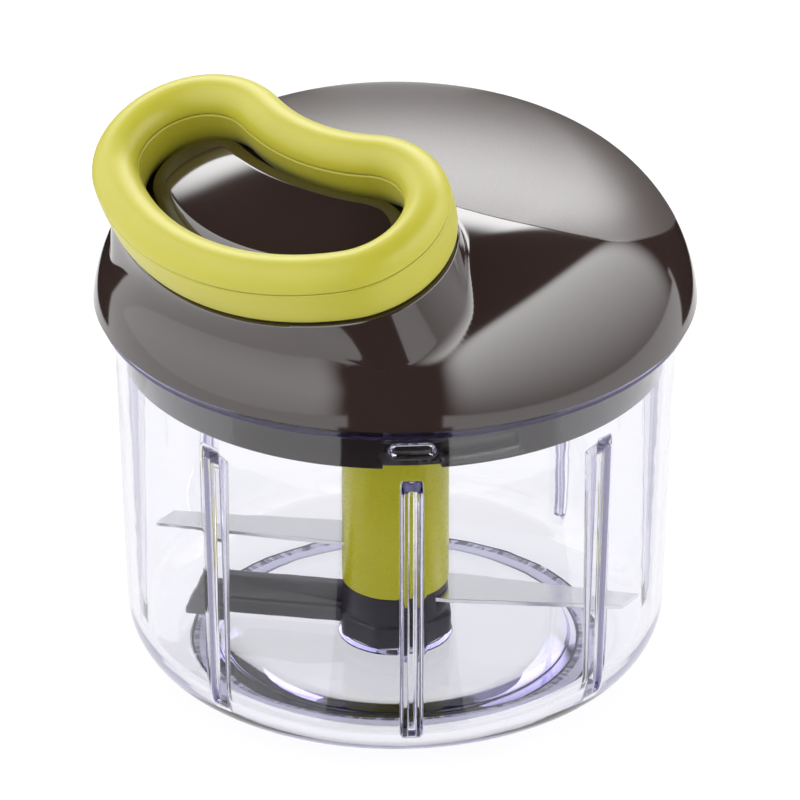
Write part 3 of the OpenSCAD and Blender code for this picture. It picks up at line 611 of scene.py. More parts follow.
def clear_san():
    """Clear plastic with its toner in the volume and round the rim."""
    material, tree, shader = new_material("clear_san", IOR=1.57, Transmission_Weight=1.0)
    place = add(tree, "ShaderNodeTexCoord").outputs["Object"]
    height = add(tree, "ShaderNodeSeparateXYZ", {0: place}).outputs["Z"]
    rim = add(
        tree,
        "ShaderNodeMapRange",
        {"Value": height, "From Min": RIM_FOOT * MM, "From Max": (RIM_FOOT + RIM_FADE) * MM},
        interpolation_type="SMOOTHSTEP",
    )
    tint = add(
        tree,
        "ShaderNodeMix",
        {"Factor": rim.outputs["Result"], "A": linear("#fafafb"), "B": linear("#b6acf0")},
        data_type="RGBA",
    )
    tree.links.new(tint.outputs["Result"], shader.inputs["Base Color"])
    flow = add(tree, "ShaderNodeTexNoise", {"Vector": place, "Scale": per_metre(FLOW), "Detail": 1.0})
    ripple = add(
        tree,
        "ShaderNodeBump",
        {"Height": flow.outputs["Fac"], "Strength": 1.0, "Distance": FLOW_DEPTH * MM},
    )
    tree.links.new(ripple.outputs["Normal"], shader.inputs["Normal"])
    haze = add(
        tree, "ShaderNodeMapRange", {"Value": flow.outputs["Fac"], "To Min": 0.0, "To Max": FLOW_HAZE}
    )
    tree.links.new(haze.outputs["Result"], shader.inputs["Roughness"])
    path = add(tree, "ShaderNodeLightPath")
    passing = add(
        tree,
        "ShaderNodeMath",
        {0: path.outputs["Is Shadow Ray"], 1: path.outputs["Is Diffuse Ray"]},
        operation="MAXIMUM",
    )
    through = add(tree, "ShaderNodeBsdfTransparent", {"Color": linear("#f4f4fa")})
    surface = add(
        tree,
        "ShaderNodeMixShader",
        {0: passing.outputs[0], 1: shader.outputs[0], 2: through.outputs[0]},
    )
    caught = add(
        tree, "ShaderNodeMath", {0: path.outputs["Ray Depth"], 1: CAUGHT}, operation="GREATER_THAN"
    )
    leak = add(tree, "ShaderNodeBsdfTransparent", {"Color": linear("#e4e2f0")})
    surface = add(
        tree,
        "ShaderNodeMixShader",
        {0: caught.outputs[0], 1: surface.outputs[0], 2: leak.outputs[0]},
    )
    toner = add(tree, "ShaderNodeVolumeAbsorption", {"Color": linear("#c9c8da"), "Density": TONER})
    output = next(n for n in tree.nodes if n.type == "OUTPUT_MATERIAL")
    tree.links.new(surface.outputs[0], output.inputs["Surface"])
    tree.links.new(toner.outputs[0], output.inputs["Volume"])
    return material


# Clear SAN: bright and hard as glass, colourless in the wall and lavender round the rim
CLEAR_SAN = clear_san()
print("bowl finish:", CLEAR_SAN.name)


# %% [markdown]
# ## Metals
# The blades are stamped from stainless strip and polished on a belt, so faint lines run one way over
# them. The screws and pins are turned and plated, the spring is blued strip, and the bush is sintered
# bronze, which shows its grains. One recipe serves them all: a noise that is drawn out along the
# direction of the work.

# %% Metals
LINE_SPREAD = 0.3  # bare metal strays further from its gloss than a moulded skin


def worked_metal(name, dark, light, gloss, line_mm, stretch, depth_mm):
    """Bare metal with fine lines or grains: stretch draws the pattern out along X, Y and Z."""
    material, tree, shader = new_material(name, Metallic=1.0)
    place = add(tree, "ShaderNodeTexCoord").outputs["Object"]
    drawn = add(tree, "ShaderNodeMapping", {"Vector": place, "Scale": stretch})
    lines = add(
        tree,
        "ShaderNodeTexNoise",
        {"Vector": drawn.outputs[0], "Scale": per_metre(line_mm), "Detail": 4.0, "Roughness": 0.7},
    ).outputs["Fac"]
    pattern_finish(tree, shader, lines, dark, light, lines, gloss, LINE_SPREAD, depth_mm)
    return material


# Polished stainless strip: nearly a mirror, with faint lines left by the polishing belt
BLADE_STEEL = worked_metal("polished_stainless", "#dcdddf", "#ececee", 0.16, 0.5, (1, 0.12, 1), 0.002)
# Turned and plated steel: bright, with fine rings round the axis
BRIGHT_STEEL = worked_metal("plated_steel", "#b9bbbd", "#d3d5d7", 0.24, 0.3, (1, 1, 3), 0.003)
# Hardened spring strip: blue-grey and dull from its heat treatment
SPRING_STEEL = worked_metal("blued_spring_steel", "#5b6470", "#78828f", 0.32, 0.4, (1, 1, 0.2), 0.003)
# Sintered bronze: brown-gold and grainy, dull with oil
BRONZE = worked_metal("sintered_bronze", "#8a6a3c", "#b08c55", 0.4, 0.35, (1, 1, 1), 0.01)


# %% [markdown]
# ## Woven cord
# The cord is white polyester, braided from many fine fibres. Its strands could be drawn by a texture,
# but they would slide where the cord bends, so they are pressed into the mesh further down. The
# material only adds the fibres, too fine to model, and the soft sheen that they give.

# %% Woven cord
FIBRE, FIBRE_DEPTH = 0.25, 0.08  # the real fibres are finer; these are as fine as the render can show


def woven_polyester():
    """Braided polyester with its fibres."""
    material, tree, shader = new_material("braided_polyester", Roughness=0.75, Sheen_Weight=0.3)
    place = add(tree, "ShaderNodeTexCoord").outputs["Object"]
    fibres = add(
        tree, "ShaderNodeTexNoise", {"Vector": place, "Scale": per_metre(FIBRE), "Detail": 3.0}
    ).outputs["Fac"]
    tint = add(
        tree,
        "ShaderNodeMix",
        {"Factor": fibres, "A": linear("#cfccc4"), "B": linear("#efede7")},
        data_type="RGBA",
    )
    tree.links.new(tint.outputs["Result"], shader.inputs["Base Color"])
    relief = add(tree, "ShaderNodeBump", {"Height": fibres, "Distance": FIBRE_DEPTH * MM})
    tree.links.new(relief.outputs["Normal"], shader.inputs["Normal"])
    return material


# White polyester braid: dull, with a faint sheen along its edges
CORD = woven_polyester()
print("materials:", len(bpy.data.materials))


# %% [markdown]
# ## Bowl
# The bowl is one moulding with eight hollow ribs, four bayonet lugs and a rim. It could be turned and
# then cut, but clear plastic shows every bad edge, so its wall is a grid instead: a profile that runs
# up the outside, over the rim and down the inside, turned round the axis, with each point pushed
# inwards where a rib, a groove or a lug is. This cell makes the plain profile.

# %% Bowl profile
def ease(value, full, none):
    """One at full, zero at none, and a smooth step between."""
    t = np.clip((np.asarray(value, float) - none) / (full - none), 0, 1)
    return t * t * (3 - 2 * t)


def arc(centre, radius, start, end, steps):
    """Points of an arc between two turns in degrees."""
    turn = np.radians(np.linspace(start, end, steps))
    return [(centre[0] + radius * math.cos(a), centre[1] + radius * math.sin(a)) for a in turn]


RIM_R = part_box("bowl")[1].x / MM
BOWL_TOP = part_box("bowl")[1].z / MM
BOWL_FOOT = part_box("bowl")[0].z / MM
WALL = 2.2
CORNER = 13.5
FLAT_R = 46.1  # where the rounded corner starts
BASE_R = FLAT_R + CORNER
DRAFT = 2.4  # the wall leans out by this much over its height
RIM_T = 2.0
CORNER_Z = BOWL_FOOT + CORNER
FLOOR_Z = 3.6
INNER_CORNER_Z = FLOOR_Z + CORNER - WALL
PLATEAU = (38.7, 4.2)  # radius and height of the raised disc
PAD = (12.4, 5.2)  # the same for the pad round the pin
PIN_HOLE = (2.52, 1.8)  # radius and floor of the pin's hole
RING_IN, RING_OUT, RING_T = 40.5, 45.5, 2.0  # the anti-slip ring under the foot


def wall_inside(z):
    """Radius of the wall's inner face at a height."""
    share = np.clip((np.asarray(z, float) - INNER_CORNER_Z) / (BOWL_TOP - INNER_CORNER_Z), 0, 1)
    return BASE_R - WALL + DRAFT * share


def wall_outside(z):
    """Radius of the wall's outer face at a height."""
    share = np.clip((np.asarray(z, float) - CORNER_Z) / (BOWL_TOP - RIM_T - CORNER_Z), 0, 1)
    return BASE_R + DRAFT * share


GROOVE_FOOT, GROOVE_SLOPE, GROOVE_TOP = 9.6, 67.4, 70.9
GROOVE_FLOOR = 57.0
# Heights of the wall's rows, up the outside and down the inside, close where a rib or lug ends
rows_up = np.r_[
    np.arange(16, 66, 4), 67, 68, 69, 69.8, 70.4, 70.7, 70.9, 71.1, 71.5, 74, 78, 82, 84.6
]
rows_down = np.r_[
    86.4, 84, 82.6, 82.1, 81.8, 81.5, 81.1, 80.35, 79.6, 79.2, 78.9, 78.6, 78.1, 76, 74, 73.2, 72.8,
    72.4, 71.6, 70.6, 69.6, 69.1, 68.6, 67.6, np.arange(64, INNER_CORNER_Z + 2, -4),
]
corner_fine = math.degrees(math.asin((GROOVE_FOOT - CORNER_Z) / CORNER))
outside = (
    [(0, BOWL_FOOT), (14, BOWL_FOOT), (30, BOWL_FOOT), (RING_IN - 0.3, BOWL_FOOT)]
    + [(RING_IN - 0.02, BOWL_FOOT + 0.2), (RING_IN - 0.02, RING_T)]
    + [(RING_OUT + 0.02, RING_T), (RING_OUT + 0.02, BOWL_FOOT + 0.2), (RING_OUT + 0.3, BOWL_FOOT)]
    + arc((FLAT_R, CORNER_Z), CORNER, -90, corner_fine - 3, 13)
    + arc((FLAT_R, CORNER_Z), CORNER, corner_fine - 1.2, corner_fine + 1.2, 4)
    + arc((FLAT_R, CORNER_Z), CORNER, corner_fine + 3, 0, 4)
    + [(float(wall_outside(z)), z) for z in rows_up]
    + softened(
        [
            (float(wall_outside(85)), 85.0),
            (float(wall_outside(85.5)), BOWL_TOP - RIM_T),
            (RIM_R, BOWL_TOP - RIM_T),
            (RIM_R, BOWL_TOP),
            (float(wall_inside(87.5)), BOWL_TOP),
            (float(wall_inside(87)), 87.0),
        ],
        0.5,
        closed=False,
    ).tolist()
)
inside = (
    [(float(wall_inside(z)), z) for z in rows_down]
    + arc((FLAT_R, INNER_CORNER_Z), CORNER - WALL, 0, -30, 7)
    + arc((FLAT_R, INNER_CORNER_Z), CORNER - WALL, -33, -90, 16)
    + softened(
        [
            (42, FLOOR_Z),
            (PLATEAU[0] + 0.2, FLOOR_Z),
            (PLATEAU[0] - 0.2, PLATEAU[1]),
            (26, PLATEAU[1]),
            (PAD[0] + 0.3, PLATEAU[1]),
            (PAD[0] - 0.3, PAD[1]),
            (PIN_HOLE[0] + 0.3, PAD[1]),
            (PIN_HOLE[0], PAD[1] - 0.3),
            PIN_HOLE,
            (0, PIN_HOLE[1]),
        ],
        0.3,
        closed=False,
    ).tolist()
)
profile = np.array(outside + inside)
print("bowl profile:", len(profile), "points")

# %% [markdown]
# ## Ribs, grooves and lugs
# Eight ribs stiffen the wall. On the outside each is a narrow groove and on the inside a wide, hollow
# ridge, and every second one has a lug above it that the lid's bayonet turns under. They could be
# solids joined to the wall, but the joints would glint. So the columns of the grid crowd together at
# each rib, and the points there are moved inwards by smooth steps.

# %% Bowl mesh
RIBS = 8
RIB_FACE = 55.4
RIB_SLOPE = (68.9, 73.0)  # heights between which a rib's top runs out into the wall
RIB_SIDE = (1.75, 2.45)  # half widths of the rib's face and of its root
GROOVE_SIDE = (0.6, 1.0)
LUG_MIDDLE_Z, LUG_HALF_W, LUG_HALF_H, LUG_DEPTH = 80.35, 4.8, 1.35, 2.0
HALF_SECTOR = math.pi / RIBS
# Columns, in millimetres from a rib's middle, close at the sides of ribs, grooves and lugs
across = np.r_[
    0, 0.3, 0.55, 0.65, 0.75, 0.85, 0.95, 1.05, 1.35, 1.7, 1.85, 2.0, 2.15, 2.3, 2.45, 2.8, 3.3, 3.8,
    4.3, 4.65, 4.95, 5.4, 6.4, 8, 10, 12.4, 15, 17.8, 20.4,
] / BASE_R
one_sector = np.r_[-across[:0:-1], across, HALF_SECTOR]
handle_side = -math.pi / 2
columns = np.concatenate([handle_side + k * 2 * HALF_SECTOR + one_sector for k in range(RIBS)])
sideways = np.tile(np.abs(one_sector), RIBS)
lug_column = np.repeat(np.arange(RIBS) % 2 == 1, len(one_sector))

radius = np.repeat(profile[:, :1], len(columns), axis=1)
height = np.repeat(profile[:, 1:], len(columns), axis=1)
is_inside = (np.arange(len(profile)) >= len(outside))[:, None]
offset = radius * np.sin(sideways)[None]
run_out = np.clip((height - RIB_SLOPE[0]) / (RIB_SLOPE[1] - RIB_SLOPE[0]), 0, 1)
rib_depth = np.clip(radius - RIB_FACE, 0, None) * (1 - run_out) * ease(offset, *RIB_SIDE)
rib_depth = np.where(height < PAD[1], 0, rib_depth)
from_lug_end = np.clip(offset - LUG_HALF_W + LUG_HALF_H, 0, None)
stadium = np.hypot(from_lug_end, height - LUG_MIDDLE_Z) - LUG_HALF_H
lug_depth = LUG_DEPTH * ease(stadium, -0.3, 0.25) * lug_column[None]
groove_slope = np.clip((height - GROOVE_SLOPE) / (GROOVE_TOP - GROOVE_SLOPE), 0, 1)
groove_floor = GROOVE_FLOOR + groove_slope * (float(wall_inside(72.5)) - GROOVE_FLOOR)
groove_depth = np.clip(radius - groove_floor, 0, None) * ease(offset, *GROOVE_SIDE)
groove_depth *= ease(height, GROOVE_FOOT + 0.25, GROOVE_FOOT - 0.25)
groove_depth *= ease(height, GROOVE_TOP - 0.2, GROOVE_TOP + 0.2)
radius = radius - np.where(is_inside, rib_depth + lug_depth, groove_depth)
points = np.stack([radius * np.cos(columns), radius * np.sin(columns), height], -1)
bowl = mesh_piece("clear_bowl", points, grid_faces(len(profile), len(columns)), CLEAR_SAN, crease=180)
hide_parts("bowl")
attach(bowl, "bowl")

# %% [markdown]
# ## Anti-slip ring
# A ring of silicone sits in a groove under the bowl and carries the whole chopper. It is a turned
# section with round edges, so it meets the table softly.

# %% Anti-slip ring
ring_section = softened([(RING_IN, 0), (RING_OUT, 0), (RING_OUT, RING_T), (RING_IN, RING_T)], 0.5)
anti_slip = mesh_piece("anti_slip_silicone", *turned(ring_section, 160, closed=True), SILICONE)
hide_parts("anti_slip_ring")
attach(anti_slip, "bowl")


# %% [markdown]
# ## Ring line
# The handle is a kidney: two round ends, a long bow in front and a shallow dent behind, all tangent
# arcs. The ring, the neck under it and the island inside it all follow this one line at an offset, so
# it is worked out once, in the handle's own tilted plane.

# %% The kidney and the handle's frame
pull = JOINTS["handle_pull"]["axis"]
HANDLE_TILT = math.atan2(-pull[1], pull[2])
LID_R = 66.4
HANDLE_IN = 27.5
DOME_TOP = 124.4
HANDLE_RISE = 4.9
LOBE_X, LOBE_R, LOBE_OUT = 22.5, 17.5, 1.5
RING_FRONT, RING_BACK = 26.3, 12.0
bow_rest = RING_FRONT - LOBE_R
BOW_C = -(bow_rest**2 - LOBE_X**2 - LOBE_OUT**2) / (2 * (bow_rest - LOBE_OUT))
BOW_R = RING_FRONT + BOW_C
DENT_R = (LOBE_X**2 + (LOBE_OUT + RING_BACK) ** 2 - LOBE_R**2) / (2 * (LOBE_R - LOBE_OUT - RING_BACK))
DENT_C = RING_BACK + DENT_R
BOW_HALF = math.degrees(math.atan2(LOBE_X, LOBE_OUT + BOW_C))
DENT_HALF = math.degrees(math.atan2(LOBE_X, LOBE_OUT + DENT_C))
HANDLE = Matrix.Translation((0, -(LID_R - HANDLE_IN), DOME_TOP + HANDLE_RISE)) @ Matrix.Rotation(
    HANDLE_TILT, 4, "X"
)


def kidney(offset=0.0, lobe_steps=56, dent_steps=60, bow_steps=60):
    """Points of the ring's line, moved outwards by offset, once round."""
    made = []
    for centre, r, start, end, steps, out in (
        ((LOBE_X, -LOBE_OUT), LOBE_R, BOW_HALF - 90, 90 + DENT_HALF, lobe_steps, 1),
        ((0, DENT_C), DENT_R, DENT_HALF - 90, -90 - DENT_HALF, dent_steps, -1),
        ((-LOBE_X, -LOBE_OUT), LOBE_R, 90 - DENT_HALF, 270 - BOW_HALF, lobe_steps, 1),
        ((0, BOW_C), BOW_R, -90 - BOW_HALF, BOW_HALF - 90, bow_steps, 1),
    ):
        made += arc(centre, r + out * offset, start, end, steps + 1)[:-1]
    return np.array(made)


def kidney_gap(x, y):
    """Distance from the ring's line, less than zero inside it."""
    x = np.abs(x)
    lobe = np.hypot(x - LOBE_X, y + LOBE_OUT) - LOBE_R
    middle = np.maximum(np.hypot(x, y - BOW_C) - BOW_R, DENT_R - np.hypot(x, y - DENT_C))
    side = np.degrees(np.arctan2(y + LOBE_OUT, x - LOBE_X))
    return np.where((side > BOW_HALF - 90) & (side < 90 + DENT_HALF), lobe, middle)


def from_handle(points):
    """Points of the handle's frame in the whole chopper's frame, all in millimetres."""
    turn = np.array(HANDLE.to_3x3())
    return np.asarray(points, float) @ turn.T + np.array(HANDLE.translation)


print("ring:", len(kidney()), "stations, tilt", round(math.degrees(HANDLE_TILT), 1), "degrees")

# %% [markdown]
# ## Lid shell
# The dome is a turned shape and the neck is a kidney pushed out along the tilted axis, and the two flow
# into each other in a hollow curve. A boolean and a bevel would fray along that curve. From a point on
# the neck's axis every part of the outside can be seen, so rays are cast from there against the two
# shapes, blended by a smooth minimum, and each ray gives one point of an even grid.

# %% Dome and neck as distances
SHOULDER_R, CROWN_R = 36.0, 154.0
EDGE_Z = 88.0
SEAT_H, SEAT_OUT = -10.5, 4.0
CROWN_Z = DOME_TOP - CROWN_R
SHOULDER_X = LID_R - SHOULDER_R
SHOULDER_Z = CROWN_Z + math.sqrt((CROWN_R - SHOULDER_R) ** 2 - SHOULDER_X**2)
CROWN_LEAN = math.atan2(SHOULDER_X, SHOULDER_Z - CROWN_Z)
CORE_H = -40.0  # rays start here on the neck's axis
NECK_SLOPE, NECK_DEEP = 0.3, 16.0  # the neck's two ends spread towards its foot
FLARE, END_FLARE = 9.0, 0.8  # hollow between neck and dome, wide in front and crisp at the ends
LID_WALL = 2.2
RAY_STEPS, RAY_REACH, HALVINGS = 420, 130.0, 34
LAST_LEAN = math.radians(128)  # rays lean from the seat's edge out to here, under the dome's rim
FRONT_TURNS = (-54, -26)  # degrees round the neck: its front, and where its ends begin
END_TURNS = (0, 16)  # and where the spread of the ends fades out towards the back


def dome_gap(p):
    """Distance from the dome, less than zero inside it."""
    r = np.hypot(p[..., 0], p[..., 1])
    on_crown = np.arctan2(r, p[..., 2] - CROWN_Z) < CROWN_LEAN
    crown = np.hypot(r, p[..., 2] - CROWN_Z) - CROWN_R
    shoulder = np.hypot(r - SHOULDER_X, p[..., 2] - SHOULDER_Z) - SHOULDER_R
    return np.where(on_crown, crown, shoulder)


def smooth_least(a, b, width):
    """The lesser of two distances, rounded off where they are closer than width."""
    close = np.clip(width - np.abs(a - b), 0, None) / width
    return np.minimum(a, b) - close**2 * width / 4


def lid_walls(rows, inset=0.0, drop=0.3):
    """Rows of points from the edge of the seat down the neck and over the dome to its rim."""
    seat_edge = kidney(SEAT_OUT - inset)
    turn = np.arctan2(seat_edge[:, 1], seat_edge[:, 0])
    lean0 = np.arctan2(np.hypot(*seat_edge.T), SEAT_H - inset - drop - CORE_H)
    flat = np.c_[seat_edge, np.full(len(seat_edge), SEAT_H)]
    end_turn = np.degrees(np.arctan2(seat_edge[:, 1], np.abs(seat_edge[:, 0])))
    in_front = ease(end_turn, *FRONT_TURNS)
    slope = (NECK_SLOPE * ease(end_turn, *END_TURNS) * (1 - in_front))[None]
    wide = np.clip(1.25 * dome_gap(from_handle(flat)), 0.4, FLARE)
    flare = (END_FLARE + (wide - END_FLARE) * in_front)[None]
    share = np.linspace(0, 1, RAY_STEPS)[:, None]
    lean = lean0[None] + (LAST_LEAN - lean0[None]) * share
    ray = np.stack(
        [np.sin(lean) * np.cos(turn)[None], np.sin(lean) * np.sin(turn)[None], np.cos(lean)], -1
    )
    near, far = np.full(lean.shape, 2.0), np.full(lean.shape, RAY_REACH)
    core = np.array([0, 0, CORE_H])
    for _ in range(HALVINGS):
        middle = (near + far) / 2
        local = core + ray * middle[..., None]
        spread = SEAT_OUT + slope * np.clip(SEAT_H - local[..., 2], 0, NECK_DEEP)
        neck = (kidney_gap(local[..., 0], local[..., 1]) - spread) / np.hypot(1, slope)
        outside_it = smooth_least(neck, dome_gap(from_handle(local)), flare) > -inset
        far = np.where(outside_it, middle, far)
        near = np.where(outside_it, near, middle)
    found = from_handle(core + ray * near[..., None])
    even = np.empty((rows, found.shape[1], 3))
    for j in range(found.shape[1]):
        line = found[:, j]
        under = int(np.argmax(line[:, 2] < EDGE_Z))
        above = line[under - 1]
        last = above + (line[under] - above) * (EDGE_Z - above[2]) / (line[under, 2] - above[2])
        line = np.vstack([line[:under], last])
        length = np.r_[0, np.cumsum(np.linalg.norm(np.diff(line, axis=0), axis=1))]
        wanted = np.linspace(0, 1, rows) ** 1.3 * length[-1]
        even[:, j] = np.stack([np.interp(wanted, length, line[:, k]) for k in range(3)], -1)
    return even


print("crown meets shoulder at", round(math.degrees(CROWN_LEAN), 1), "degrees")

# %% [markdown]
# ## Seat and island inside the ring
# The ring rests on a flat seat, and inside it the lid rises again to a low island with a crowned top
# and a sloped border. All three follow the ring's line, so each row of the grid is that line at an
# offset with a height of its own, and a bevel isn't needed.

# %% Seat and island inside the ring
ISLAND_H, ISLAND_BALL = 8.4, 170.0
ISLAND_IN = 6.4  # from the ring's line to the side of the island
BORDER, BORDER_FALL = 3.4, 1.6  # width and fall of the sloped border round the crown
# Share of the way over the border, and share of the fall that is reached there
BORDER_CURVE = (
    (0.06, 0.02), (0.2, 0.14), (0.4, 0.34), (0.6, 0.55), (0.8, 0.78), (0.92, 1), (0.98, 1.3)
)
BORDER_END = 1.6
ISLAND_MIDDLE = np.array([0.0, -7.0])


def crown_height(flat):
    """Height of the island's crown over the seat."""
    away = np.hypot(flat[:, 0], flat[:, 1] + LOBE_OUT)
    return np.sqrt(ISLAND_BALL**2 - away**2) - ISLAND_BALL + ISLAND_H


def lid_top(inset=0.0):
    """Rows of points from the middle of the island out to the edge of the seat."""
    side = -ISLAND_IN - inset
    edge = kidney(side - BORDER)
    made = []
    for share in (0.0, 0.12, 0.3, 0.48, 0.64, 0.78, 0.89, 0.96, 1.0):
        flat = ISLAND_MIDDLE + (edge - ISLAND_MIDDLE) * share
        made.append(np.c_[flat, crown_height(flat)])
    for share, fall in BORDER_CURVE:
        flat = kidney(side - BORDER * (1 - share))
        made.append(np.c_[flat, crown_height(edge) - BORDER_FALL * fall])
    flat = kidney(side)
    for level in (1.0, 0.75, 0.5, 0.25, 0.0):
        made.append(np.c_[flat, (crown_height(edge) - BORDER_FALL * BORDER_END) * level])
    for offset in (0.6 - ISLAND_IN, -3.0, 0.0, 0.6, SEAT_OUT - inset - 0.7, SEAT_OUT - inset - 0.3):
        flat = kidney(offset)
        made.append(np.c_[flat, np.zeros(len(flat))])
    rows = np.array(made)
    rows[..., 2] += SEAT_H - inset
    return from_handle(rows)


lid_points = np.concatenate(
    [lid_top(), lid_walls(84), lid_walls(44, LID_WALL)[::-1], lid_top(LID_WALL)[::-1]]
)
lid_shell = mesh_piece(
    "lid_shell_brown", lid_points, grid_faces(*lid_points.shape[:2]), LID_ABS, crease=48
)

# %% [markdown]
# ## What is moulded into the lid
# Inside the dome four bosses take the screws from below, and the seat has a hole for the cord's
# eyelet. Both are ordinary turned solids, joined on and cut out.

# %% Bosses and the eyelet's hole
COLLAR_Z, PLATE_T = 75.8, 2.4
COLLAR_IN = 54.66
BOSS_R, SCREW_R = 3.8, 1.5
BOSS_AT = COLLAR_IN - BOSS_R - 2
BOSS_TURNS = (75, 140, 220, 285)
BOSS_TOP, PILOT_DEEP = 95, 12  # a boss is drawn up to here, and its top then moved into the dome


def around(turn_degrees, out, height=0.0):
    """A place round the axis, turned from the handle's side."""
    a = math.radians(turn_degrees)
    return np.array([math.sin(a) * out, -math.cos(a) * out, height])


def inside_dome(flat):
    """Height of the middle of the dome's wall over points of the plan."""
    r = np.hypot(flat[:, 0], flat[:, 1])
    return SHOULDER_Z + np.sqrt((SHOULDER_R - LID_WALL / 2) ** 2 - np.clip(r - SHOULDER_X, 0, None) ** 2)


for boss_turn in BOSS_TURNS:
    foot = COLLAR_Z + PLATE_T
    pilot = [(0, foot + PILOT_DEEP), (SCREW_R, foot + PILOT_DEEP), (SCREW_R, foot)]
    points, faces = turned(pilot + [(BOSS_R, foot), (BOSS_R, BOSS_TOP), (0, BOSS_TOP)], 40)
    points = points + around(boss_turn, BOSS_AT)
    top = points[:, 2] == BOSS_TOP
    points[top, 2] = inside_dome(points[top])
    cut(lid_shell, mesh_piece("boss", points, faces, LID_ABS), keep="UNION")
EYELET_R = 2.32
hole_low, hole_high = SEAT_H - 6, SEAT_H + 3
points, faces = turned([(0, hole_low), (EYELET_R, hole_low), (EYELET_R, hole_high), (0, hole_high)], 48)
cut(lid_shell, mesh_piece("eyelet_hole", from_handle(points + [0, -RING_FRONT, 0]), faces, LID_ABS))
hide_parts("lid_shell")
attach(lid_shell, "lid")
print("lid with bosses:", len(lid_shell.data.polygons), "faces")

# %% [markdown]
# ## Ring handle
# The ring is two half shells, screwed together from below, that meet in a fine line. Each half is one
# section carried round the kidney, so a Geometry Nodes tree sweeps it: the path and the section are
# inputs, and the curve's normal is held upright so that the section never rolls.

# %% Sweep along the ring
def open_tree(name, result, **inputs):
    """A geometry tree with inputs of these kinds: the tree, its inputs and their identifiers."""
    tree = bpy.data.node_groups.new(name, "GeometryNodeTree")
    identifiers = {}
    for key, kind in inputs.items():
        socket = tree.interface.new_socket(key, in_out="INPUT", socket_type="NodeSocket" + kind)
        identifiers[key] = socket.identifier
    tree.interface.new_socket(result, in_out="OUTPUT", socket_type="NodeSocketGeometry")
    return tree, add(tree, "NodeGroupInput").outputs, identifiers


def close_tree(tree, result, geometry, finish):
    """Ends a geometry tree: copies become real, the material is set, and the result is given out."""
    real = add(tree, "GeometryNodeRealizeInstances", {"Geometry": geometry})
    dressed = add(
        tree, "GeometryNodeSetMaterial", {"Geometry": real.outputs["Geometry"], "Material": finish}
    )
    add(tree, "NodeGroupOutput", {result: dressed.outputs["Geometry"]})
    print(tree.name, len(tree.nodes), "nodes")


sweep, given, sweep_inputs = open_tree(
    "ring_sweep", "Ring", Path="Geometry", Section="Object", Finish="Material"
)
path = add(sweep, "GeometryNodeMeshToCurve", {"Mesh": given["Path"]})
upright = add(sweep, "GeometryNodeSetCurveNormal", {"Curve": path.outputs["Curve"]}, mode="Z_UP")
section = add(sweep, "GeometryNodeObjectInfo", {"Object": given["Section"]})
section_curve = add(sweep, "GeometryNodeMeshToCurve", {"Mesh": section.outputs["Geometry"]})
swept = add(
    sweep,
    "GeometryNodeCurveToMesh",
    {"Curve": upright.outputs["Curve"], "Profile Curve": section_curve.outputs["Curve"]},
)
close_tree(sweep, "Ring", swept.outputs["Mesh"], given["Finish"])


def loop_object(name, points_mm, closed=True):
    """A mesh of edges only, as the path or section of a sweep."""
    count = len(points_mm)
    edges = [(i, (i + 1) % count) for i in range(count if closed else count - 1)]
    mesh = bpy.data.meshes.new(name)
    mesh.from_pydata((np.asarray(points_mm, float) * MM).tolist(), edges, [])
    made = bpy.data.objects.new(name, mesh)
    bpy.context.scene.collection.objects.link(made)
    return made


def ring_half(name, section_mm, crease):
    """One half shell of the ring, swept in the handle's plane and set in place."""
    line = kidney(0, lobe_steps=64, dent_steps=48, bow_steps=64)
    path_object = loop_object(name + "_path", np.c_[line, np.zeros(len(line))])
    section_object = loop_object(name + "_section", np.c_[section_mm * [1, -1], np.zeros(len(section_mm))])
    step = path_object.modifiers.new("sweep", "NODES")
    step.node_group = sweep
    step[sweep_inputs["Section"]] = section_object
    step[sweep_inputs["Finish"]] = LIME_RING
    view = bpy.context.evaluated_depsgraph_get()
    made = bpy.data.meshes.new_from_object(path_object.evaluated_get(view), depsgraph=view)
    points = from_handle(np.array([v.co for v in made.vertices]) / MM)
    half = mesh_piece(name, points, [tuple(p.vertices) for p in made.polygons], LIME_RING, crease)
    bpy.data.objects.remove(path_object)
    bpy.data.objects.remove(section_object)
    return half


# %% [markdown]
# ## Halves of the ring
# The upper half is a half-round shell that fills the palm. The lower one is deeper, with nearly
# straight sides that draw in to a flat foot. Their edges are softened by a hair where they meet, and
# that makes the fine dark line round the real ring. Both outlines are drawn once, as sections.

# %% Ring halves
GRIP_R, GRIP_HALF_W, GRIP_WALL, GRIP_DEPTH = 5.4, 5.1, 2.0, 10.5
LINE_GAP = 0.1  # half the width of the fine line where the halves meet
SOFT = 0.28  # how far their edges are rounded there
narrow = GRIP_HALF_W / GRIP_R
upper_section = np.array(
    [(GRIP_R - SOFT, LINE_GAP), (GRIP_R - 0.06, LINE_GAP + SOFT)]
    + arc((0, 0), GRIP_R, 7, 173, 29)
    + [(-GRIP_R + 0.06, LINE_GAP + SOFT), (-GRIP_R + SOFT, LINE_GAP), (-GRIP_R + GRIP_WALL, LINE_GAP)]
    + arc((0, 0), GRIP_R - GRIP_WALL, 176, 4, 13)
    + [(GRIP_R - GRIP_WALL, LINE_GAP)]
)
side = [(5.4, -0.38), (5.3, -4), (4.9, -7.3), (4.3, -9.1), (2.8, -10.3), (1.4, -GRIP_DEPTH)]
side = softened(side, 1.2, closed=False)
side = np.vstack([[(GRIP_R - SOFT, -LINE_GAP), (GRIP_R - 0.04, -LINE_GAP - SOFT)], side])
hollow = [(-3.4, -LINE_GAP), (-2.9, -7.3), (-2.4, -8.5), (2.4, -8.5), (2.9, -7.3), (3.4, -LINE_GAP)]
lower_section = np.vstack([side, (side * [-1, 1])[::-1], hollow])
upper_section[:, 0] *= narrow
